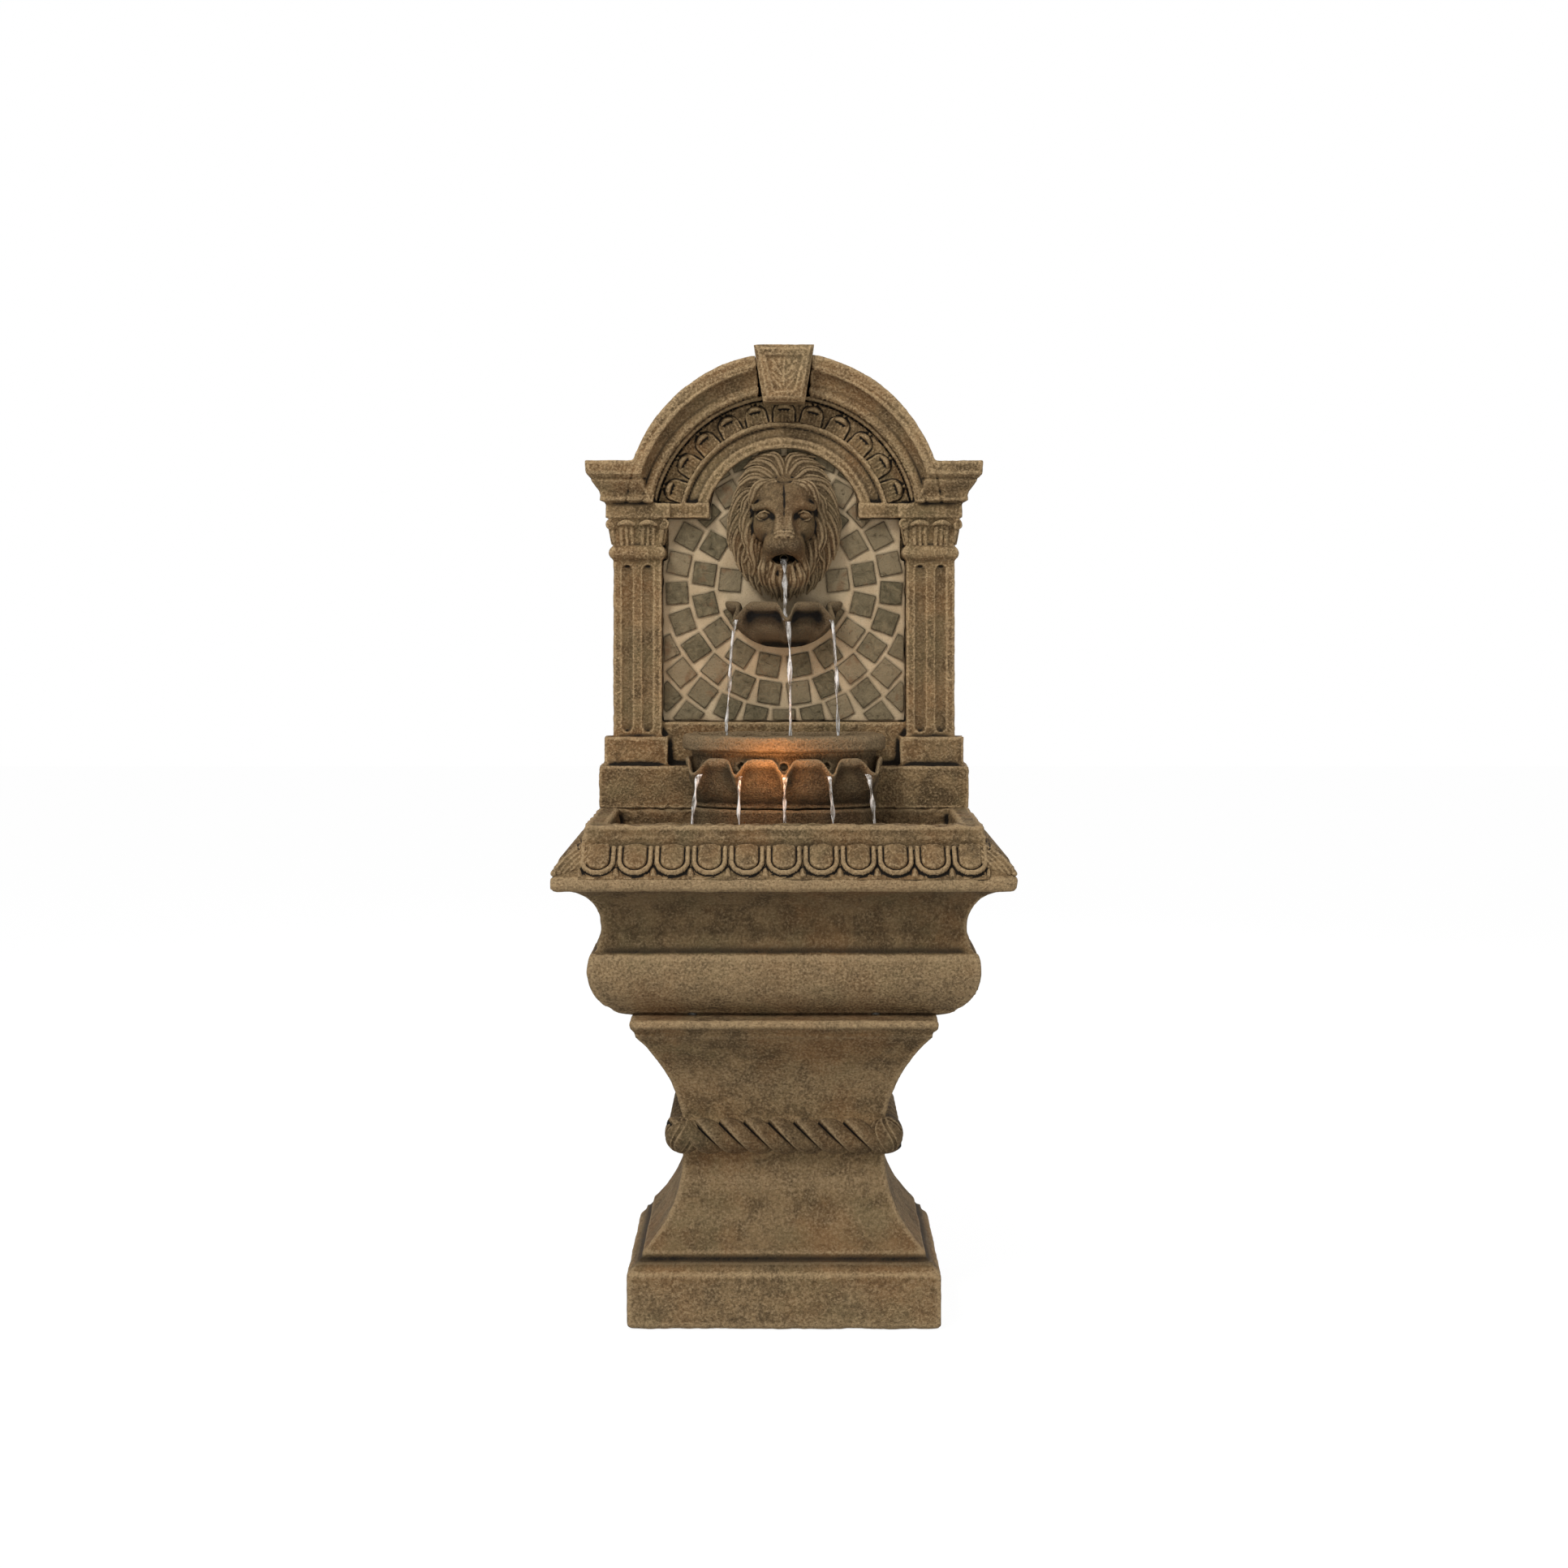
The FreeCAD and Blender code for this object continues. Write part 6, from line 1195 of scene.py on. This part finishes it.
def petalSections(look, spoutShare, body):
    # body gives how far the outside stands out at a share of its height; petals rise between the spouts
    share = np.linspace(0, 1, petal["outer"])
    top = look["rim"] - look["notch"] * spoutShare
    at, half = look["creaseAt"], look["thick"] / 2
    under = rise(share, at - 0.5, at) * rise(-share, -at - 0.12, -at)    # below the rolled rim
    angle = np.linspace(0.3, math.pi - 0.3, petal["roll"])
    sections = []
    for pour, lip in zip(spoutShare, top):
        out = body(share) + look["pour"] * pour * share ** 3
        up = look["foot"] + (lip - look["foot"]) * share
        outer = np.stack([out - look["crease"] * (1 - pour) * under, up], -1)
        roll = np.stack([outer[-1, 0] - half + half * np.cos(angle), lip + half * np.sin(angle)], -1)
        inner = np.stack([out[::-2] - look["thick"] * 1.05, up[::-2]], -1)[:petal["inner"]]
        inner[-1] = look["floor"]
        sections.append(np.concatenate([outer, roll, inner]))
    return np.array(sections)


def makeSpillBowl():
    stations, outs = drumOutline(spill["steps"])
    run = np.cumsum(np.r_[0, np.linalg.norm(np.diff(stations, axis=0), axis=1)])
    share = np.zeros(len(stations))
    for spout in spill["spouts"]:
        place = np.argmin(np.abs(stations[:, 0] - spout) + (stations[:, 1] > 60) * 99)
        share = np.maximum(share, np.exp(-((run - run[place]) / spill["spoutWide"]) ** 2))

    def body(s):
        return spill["footOut"] + (spill["reach"] - spill["footOut"]) * (1 - (1 - s) ** spill["power"])

    sections = petalSections(spill, share, body)
    bearing = np.degrees(np.arctan2(np.abs(outs[:, 0]), -outs[:, 1]))
    fade = rise(-bearing, *spill["fade"])[:, None]    # the ends die into the drum
    sections[:, :, 0] = spill["sunk"] + (sections[:, :, 0] - spill["sunk"]) * fade
    piece = sweptShell("spill_bowl_petals", stations, outs, sections, bowlStone, spill["grime"])
    return dress(piece, "spill_bowl")


def makeUpperBowl():
    angle = np.radians(np.linspace(-basket["span"], basket["span"], basket["steps"]))
    bearing = np.degrees(angle)
    outs = np.stack([np.sin(angle), -np.cos(angle)], -1)
    stations = np.stack([0 * angle, 0 * angle + drum["wall"]], -1)
    share = sum(np.exp(-((bearing - spout) / basket["spoutWide"]) ** 2) for spout in basket["spouts"])
    radius, foot = basket["radius"], basket["footOut"]

    def body(s):
        return foot + (radius - foot) * np.sqrt(1 - (1 - s) ** basket["power"]) * (0.94 + 0.06 * s)

    sections = petalSections(basket, np.clip(share, 0, 1), body)
    ear = rise(np.abs(bearing), *basket["earSpan"])[:, None]
    spread = np.linspace(0, 1, sections.shape[1])[None] ** 0.6
    sections[:, :, 0] *= 1 + (basket["ear"] / radius - 1) * ear * spread
    piece = sweptShell("upper_bowl_petals", stations, outs, sections, basketStone, basket["grime"])
    return dress(piece, "upper_bowl")


def makeDrum():
    field = nodeField("collector_drum", 1.9)
    coarse = roughStone(0.3, 0.5, 71, bands=((735, 757, 1.2),))
    # painted light on the lip, painted shade on the wall under it
    paintedLightBands = ((728, 760, -0.7), (655, 727, 0.2))
    piece = castFromField(field, "stone_drum", bowlStone, coarse, paintedLightBands=paintedLightBands)
    return dress(piece, "collector_drum")


def makePumpCover():
    field = nodeField("pump_cover", cover["voxel"])
    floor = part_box("pump_cover")[0][2] * 1000 + cover["trim"]    # so that it slides clear of the trough
    field.value = np.maximum(field.value, floor - field.axes[2][None, None, :])
    fine = roughStone(0.2, 0.3, 73)
    piece = castFromField(field, "stone_pump_cover", bowlStone, fine, limit=cover["limit"])
    return dress(piece, "pump_cover", body="pump_shroud")


makeMosaic()
makeDrum()
makePumpCover()
makeSpillBowl()
makeUpperBowl()


# water: surfaces in the bowls and the trough, and the falling streams

water = {"troughLevel": 604.0, "troughHalf": 231.5, "troughFront": -130.0, "troughBack": 81.0,
         "drumLevel": 741.0, "drumInset": 9.0, "bowlLevel": 911.0, "bowlRadius": 60.0, "deep": 3.0,
         "sides": 10, "steps": 40, "rings": 15, "flat": 0.55, "twist": 9.0, "spin": 7.0}
streams = {    # across, depth and height of the spout's tip and of where the water lands, then its radius
    "lion": ((0.0, 64.0, 998.0), (2.0, 46.0, 912.0), 4.6),
    "bowl_left": ((-66.0, 70.0, 913.0), (-80.0, 62.0, 742.0), 3.4),
    "bowl_middle": ((6.0, 37.0, 911.0), (9.0, 31.0, 742.0), 3.6),
    "bowl_right": ((66.0, 70.0, 913.0), (76.0, 62.0, 742.0), 3.4),
    "spill_1": ((-113.0, -4.0, 704.0), (-127.0, -24.0, 605.0), 3.6),
    "spill_2": ((-59.0, -24.0, 703.0), (-61.0, -40.0, 605.0), 3.0),
    "spill_3": ((1.0, -31.0, 702.0), (0.0, -45.0, 605.0), 3.0),
    "spill_4": ((60.0, -24.0, 703.0), (68.0, -40.0, 605.0), 3.4),
    "spill_5": ((113.0, -4.0, 704.0), (124.0, -24.0, 605.0), 3.8),
}


def streamFinish():
    f = Finish("fallingWater", IOR=1.33, Specular_IOR_Level=0.6)
    streak = f.noise(230, 3, 0.6, where=f.drawn(0.16))
    bead = f.noise(120, 2, 0.5)
    colour = f.mix(f.step(streak, 0.4, 0.62), tone(128, 118, 104), tone(244, 242, 238))
    cover = f.step(streak + (bead - 0.5) * 0.5, 0.36, 0.66) * 0.75 + 0.2
    return f.feed(Base_Color=colour, Roughness=0.08 + streak * 0.12, Alpha=cover.clipped(),
                  Normal=f.bump(streak, 0.002, 0.6))


def clearFinish(name, texture, tones, rough, alpha, bump, warp=0.0, **constants):    # water, glass or vinyl
    f = Finish(name, **constants)
    haze = f.noise(*texture, warp=warp)
    colour = f.mix(f.step(haze, 0.4, 0.7), tone(*tones[0]), tone(*tones[1]))
    return f.feed(Base_Color=colour, Roughness=rough[0] + haze * rough[1], Alpha=haze * alpha[1] + alpha[0],
                  Normal=f.bump(haze, *bump))


def makeStreams():
    finish = streamFinish()
    for name, (start, end, radius) in streams.items():
        start, end = np.array(start), np.array(end)
        fall = np.linspace(0, 1, water["steps"])[:, None]
        path = start + (end - start) * np.concatenate([np.sqrt(fall), np.sqrt(fall), fall], axis=1)
        path[:, :2] += np.stack([ripple(path, 22.0, 81), ripple(path, 22.0, 83)], -1) * 1.1
        turn = np.linspace(0, 2 * math.pi, water["sides"], endpoint=False) + fall * water["twist"]
        ring = np.stack([np.cos(turn), np.sin(turn) * water["flat"]], -1)    # a flat jet that turns
        swell = 1 - 0.35 * fall + 0.22 * np.sin(fall * 21 + start[0])
        spin = fall * water["spin"]
        across = ring[:, :, 0] * np.cos(spin) - ring[:, :, 1] * np.sin(spin)
        deep = ring[:, :, 0] * np.sin(spin) + ring[:, :, 1] * np.cos(spin)
        points = np.stack([path[:, :1] + across * swell * radius, path[:, 1:2] + deep * swell * radius,
                           path[:, 2:] + 0 * across], -1)
        grid, _, quads = tube(*points.shape[:2])
        faces = [quads, grid[0][None], grid[-1][None, ::-1]]
        piece = meshPiece("stream_" + name, points.reshape(-1, 3), faces, finish)
        dress(piece, slot="lens_glass")


def pool(name, outline, level, finish):    # a thin body of water inside an outline
    n, count = len(outline), water["rings"]
    middle = outline.mean(0)
    shares = np.linspace(0, 1, count + 1)[1:]
    top = np.concatenate([np.c_[middle + (outline - middle) * s, np.full(n, level)] for s in shares])
    top[:, 2] += 0.5 * ripple(top, 14.0, 91) + 0.25 * ripple(top, 6.0, 92)
    grid, after, quads = tube(count, n)
    foot = np.c_[outline, np.full(n, level - water["deep"])]
    low = n * count + np.arange(n)
    wall = np.stack([grid[-1], low, np.roll(low, -1), after[-1]], -1)
    points = np.concatenate([top, foot])
    piece = meshPiece(name, points, [quads, wall, grid[0][None], low[None, ::-1]], finish)
    dress(piece, slot="lens_glass")


def makePools():
    finish = clearFinish("stillWater", (26, 3, 0.5), ((58, 50, 36), (92, 80, 60)), (0.05, 0.05), (0.45, 0.25),
                         (0.004, 0.5), warp=0.6, IOR=1.33, Specular_IOR_Level=0.5)
    side = np.linspace(-1, 1, 40)
    half, front, back = water["troughHalf"], water["troughFront"], water["troughBack"]
    deep = front + (back - front) * (side + 1) / 2
    edges = (np.c_[side * half, 0 * side + front], np.c_[0 * side + half, deep],
             np.c_[-side * half, 0 * side + back], np.c_[0 * side - half, deep[::-1]])
    pool("water_trough", np.concatenate([edge[:-1] for edge in edges]), water["troughLevel"], finish)
    stations, outs = drumOutline(90)
    pool("water_drum", stations - outs * water["drumInset"], water["drumLevel"], finish)
    angle = np.radians(np.linspace(-88, 88, 60))
    radius = water["bowlRadius"]
    bowl = np.stack([radius * np.sin(angle), drum["wall"] - radius * np.cos(angle)], -1)
    pool("water_bowl", bowl, water["bowlLevel"], finish)


makeStreams()
makePools()
print("water laid:", len(streams), "streams")


# fittings: their construction stays, only the surfaces are given

fittings = {    # kind of surface: the nodes that have it
    "dowelNylon": ("locating_dowels",),
    "zincSteel": ("panel_bolts", "rear_cover_screws", "hose_clamps", "light_bezel", "light_bracket",
                  "light_pivot_screws"),
    "coverBoard": ("rear_cover",),
    "pumpPlastic": ("pump_body", "pump_strainer", "pump_outlet"),
    "rotorMagnet": ("pump_impeller",),
    "ceramicShaft": ("pump_shaft",),
    "dialPlastic": ("pump_flow_dial",),
    "feetRubber": ("pump_feet", "drain_bush", "drain_plug", "light_foot", "cord_grommet"),
    "hoseVinyl": ("riser_hose",),
    "elbowPlastic": ("spout_elbow",),
    "spoutBrass": ("spout_pipe",),
    "lightPlastic": ("light_body",),
    "amberLed": ("light_led",),
    "lensGlass": ("light_lens",),
}
mouldings = {    # dark and pale tone, roughness, fineness of the texture, depth of its bumps
    "dowelNylon": ((70, 66, 58), (92, 86, 74), 0.55, 500, 0.0006),
    "pumpPlastic": ((24, 25, 26), (46, 47, 48), 0.5, 1400, 0.0006),
    "rotorMagnet": ((44, 40, 38), (66, 60, 56), 0.45, 900, 0.0006),
    "ceramicShaft": ((226, 222, 212), (240, 238, 232), 0.25, 700, 0.0002),
    "dialPlastic": ((112, 114, 116), (140, 142, 144), 0.5, 1200, 0.0006),
    "feetRubber": ((26, 25, 24), (48, 46, 43), 0.8, 1000, 0.0006),
    "elbowPlastic": ((206, 204, 196), (226, 224, 218), 0.4, 1200, 0.0003),
    "lightPlastic": ((22, 22, 23), (40, 40, 41), 0.45, 1300, 0.0006),
}


def moulded(name, dark, pale, rough, texture, depth):    # plastic, rubber or ceramic, a little scuffed
    f = Finish(name)
    fine = f.noise(texture, 3, 0.6)
    scuff = f.noise(40, 5, 0.7, warp=0.5)
    colour = f.mix(f.step(scuff, 0.4, 0.72), tone(*dark), tone(*pale))
    return f.feed(Base_Color=colour, Roughness=rough + (scuff - 0.5) * 0.25, Normal=f.bump(fine, depth, 0.7))


def metal(name, clean, stained, rough):
    f = Finish(name, Metallic=1.0)
    brushed = f.noise(900, 2, 0.5, where=f.drawn(0.1))
    stain = f.noise(85, 5, 0.7, warp=0.6)
    colour = f.mix(f.step(stain, 0.48, 0.72), clean, stained)
    return f.feed(Base_Color=colour, Roughness=rough + f.step(stain, 0.45, 0.75) * 0.3,
                  Normal=f.bump(brushed, 0.0002, 0.5))


def boardFinish():
    f = Finish("coverBoard", Specular_IOR_Level=0.2)
    fibre = f.noise(260, 4, 0.7, where=f.drawn(0.35))
    stain = f.noise(7, 5, 0.65, warp=0.5)
    colour = f.mix(f.step(fibre, 0.35, 0.65), tone(92, 82, 66), tone(122, 110, 90))
    colour = f.mix(f.step(stain, 0.5, 0.72) * 0.6, colour, tone(74, 66, 50))
    return f.feed(Base_Color=colour, Roughness=0.85 + fibre * 0.1, Normal=f.bump(fibre, 0.0012, 0.7))


def ledFinish():
    f = Finish("amberLed", Emission_Strength=14.0)
    cell = f.cells(260)
    colour = f.mix(f.step(cell, 0.2, 0.7), tone(255, 196, 110), tone(232, 128, 48))
    return f.feed(Base_Color=colour, Emission_Color=colour, Roughness=0.3 + cell * 0.2)


def dressFittings():
    finishes = {name: moulded(name, *look) for name, look in mouldings.items()}
    finishes["zincSteel"] = metal("zincSteel", tone(176, 178, 180), tone(126, 120, 110), 0.3)
    finishes["spoutBrass"] = metal("spoutBrass", tone(58, 48, 32), tone(34, 30, 22), 0.55)
    finishes["coverBoard"] = boardFinish()
    finishes["amberLed"] = ledFinish()
    finishes["lensGlass"] = clearFinish("lensGlass", (300, 2, 0.4), ((240, 226, 204), (252, 244, 230)),
                                        (0.08, 0.12), (0.3, 0.2), (0.0006, 0.5), IOR=1.5)
    finishes["hoseVinyl"] = clearFinish("hoseVinyl", (60, 4, 0.6), ((196, 200, 194), (168, 170, 156)),
                                        (0.2, 0.2), (0.5, 0.3), (0.001, 0.4), IOR=1.45)
    for kind, names in fittings.items():
        for name in names:
            nodes[name].data.materials.clear()
            nodes[name].data.materials.append(finishes[kind])
    print("fittings dressed:", sum(len(names) for names in fittings.values()))


dressFittings()


# room, light and camera

view = {"distance": 3.08, "height": 0.959, "lens": 51.93, "sensor": 36, "shiftX": 0.0, "shiftY": -0.1258}
ground = {"half": 9, "grey": 0.45, "white": 1.18, "whiteShare": 0.8}
lamps = {    # place, aim, power, size, colour
    "keyLight": ((-1.3, -2.0, 3.0), (0, -0.05, 0.75), 52, 0.8, (1, 1, 1)),
    "frontLight": ((0.3, -3.4, 0.2), (0, 0, 0.45), 30, 1.2, (1, 1, 1)),
    "topLight": ((0.1, -0.9, 3.3), (0, -0.1, 0.6), 9, 0.8, (1, 1, 1)),
    "backLight": ((0.6, 2.4, 2.2), (0, 0, 0.7), 24, 1.6, (1, 1, 1)),
    "glow": ((-0.02, -0.075, 0.72), (-0.015, 0.0, 0.737), 0.11, 0.03, (1.0, 0.42, 0.12)),
}


def seenWhite(tree, dull, white, share, out):    # white where it is seen, dull where it only sends light back
    rays = tree.nodes.new("ShaderNodeLightPath").outputs
    kinds = ("Is Camera Ray", "Is Glossy Ray", "Is Transmission Ray")
    seen, glossy, through = (Val(tree, rays[kind]) for kind in kinds)
    amount = (seen + glossy + through).withClamp() * share
    mixed = tree.nodes.new("ShaderNodeMixShader")
    for place, socket in enumerate((amount.socket, dull.outputs[0], white.outputs[0])):
        tree.links.new(socket, mixed.inputs[place])
    tree.links.new(mixed.outputs[0], tree.nodes[out].inputs["Surface"])


def makeFloor():
    material = bpy.data.materials.new("paleFloor")
    material.use_nodes = True
    tree = material.node_tree
    tree.nodes.remove(tree.nodes["Principled BSDF"])
    card = tree.nodes.new("ShaderNodeBsdfDiffuse")
    card.inputs["Color"].default_value = (ground["grey"], ground["grey"], ground["grey"], 1)
    white = tree.nodes.new("ShaderNodeEmission")
    white.inputs["Strength"].default_value = ground["white"]
    seenWhite(tree, card, white, ground["whiteShare"], "Material Output")
    mesh = bpy.data.meshes.new("floor")
    far = ground["half"]
    mesh.from_pydata([(-far, -far, 0), (far, -far, 0), (far, far, 0), (-far, far, 0)], [], [(0, 1, 2, 3)])
    mesh.materials.append(material)
    floor = bpy.data.objects.new("floor", mesh)
    scene.collection.objects.link(floor)


def makeWorld():
    world = bpy.data.worlds.new("studio")
    scene.world = world
    world.use_nodes = True
    tree = world.node_tree
    soft = tree.nodes["Background"]
    white = tree.nodes.new("ShaderNodeBackground")
    for node, strength in ((soft, 0.5), (white, 1.0)):
        node.inputs["Color"].default_value = (1, 1, 1, 1)
        node.inputs["Strength"].default_value = strength
    seenWhite(tree, soft, white, 1.0, "World Output")


def lamp(name, place, aim, power, size, colour):
    data = bpy.data.lights.new(name, "AREA")
    data.energy, data.size, data.color = power, size, colour
    thing = bpy.data.objects.new(name, data)
    thing.location = place
    thing.rotation_euler = (Vector(aim) - Vector(place)).to_track_quat("-Z", "Y").to_euler()
    thing.visible_camera = False
    scene.collection.objects.link(thing)


def studio():
    makeFloor()
    makeWorld()
    for name, look in lamps.items():
        lamp(name, *look)
    data = bpy.data.cameras.new("camera")
    data.lens, data.sensor_width = view["lens"], view["sensor"]
    data.shift_x, data.shift_y = view["shiftX"], view["shiftY"]
    camera = bpy.data.objects.new("camera", data)
    camera.location = (0, -view["distance"], view["height"])
    camera.rotation_euler = (math.pi / 2, 0, 0)
    scene.collection.objects.link(camera)
    scene.camera = camera
    scene.view_settings.view_transform = "Standard"


studio()
print("studio set")
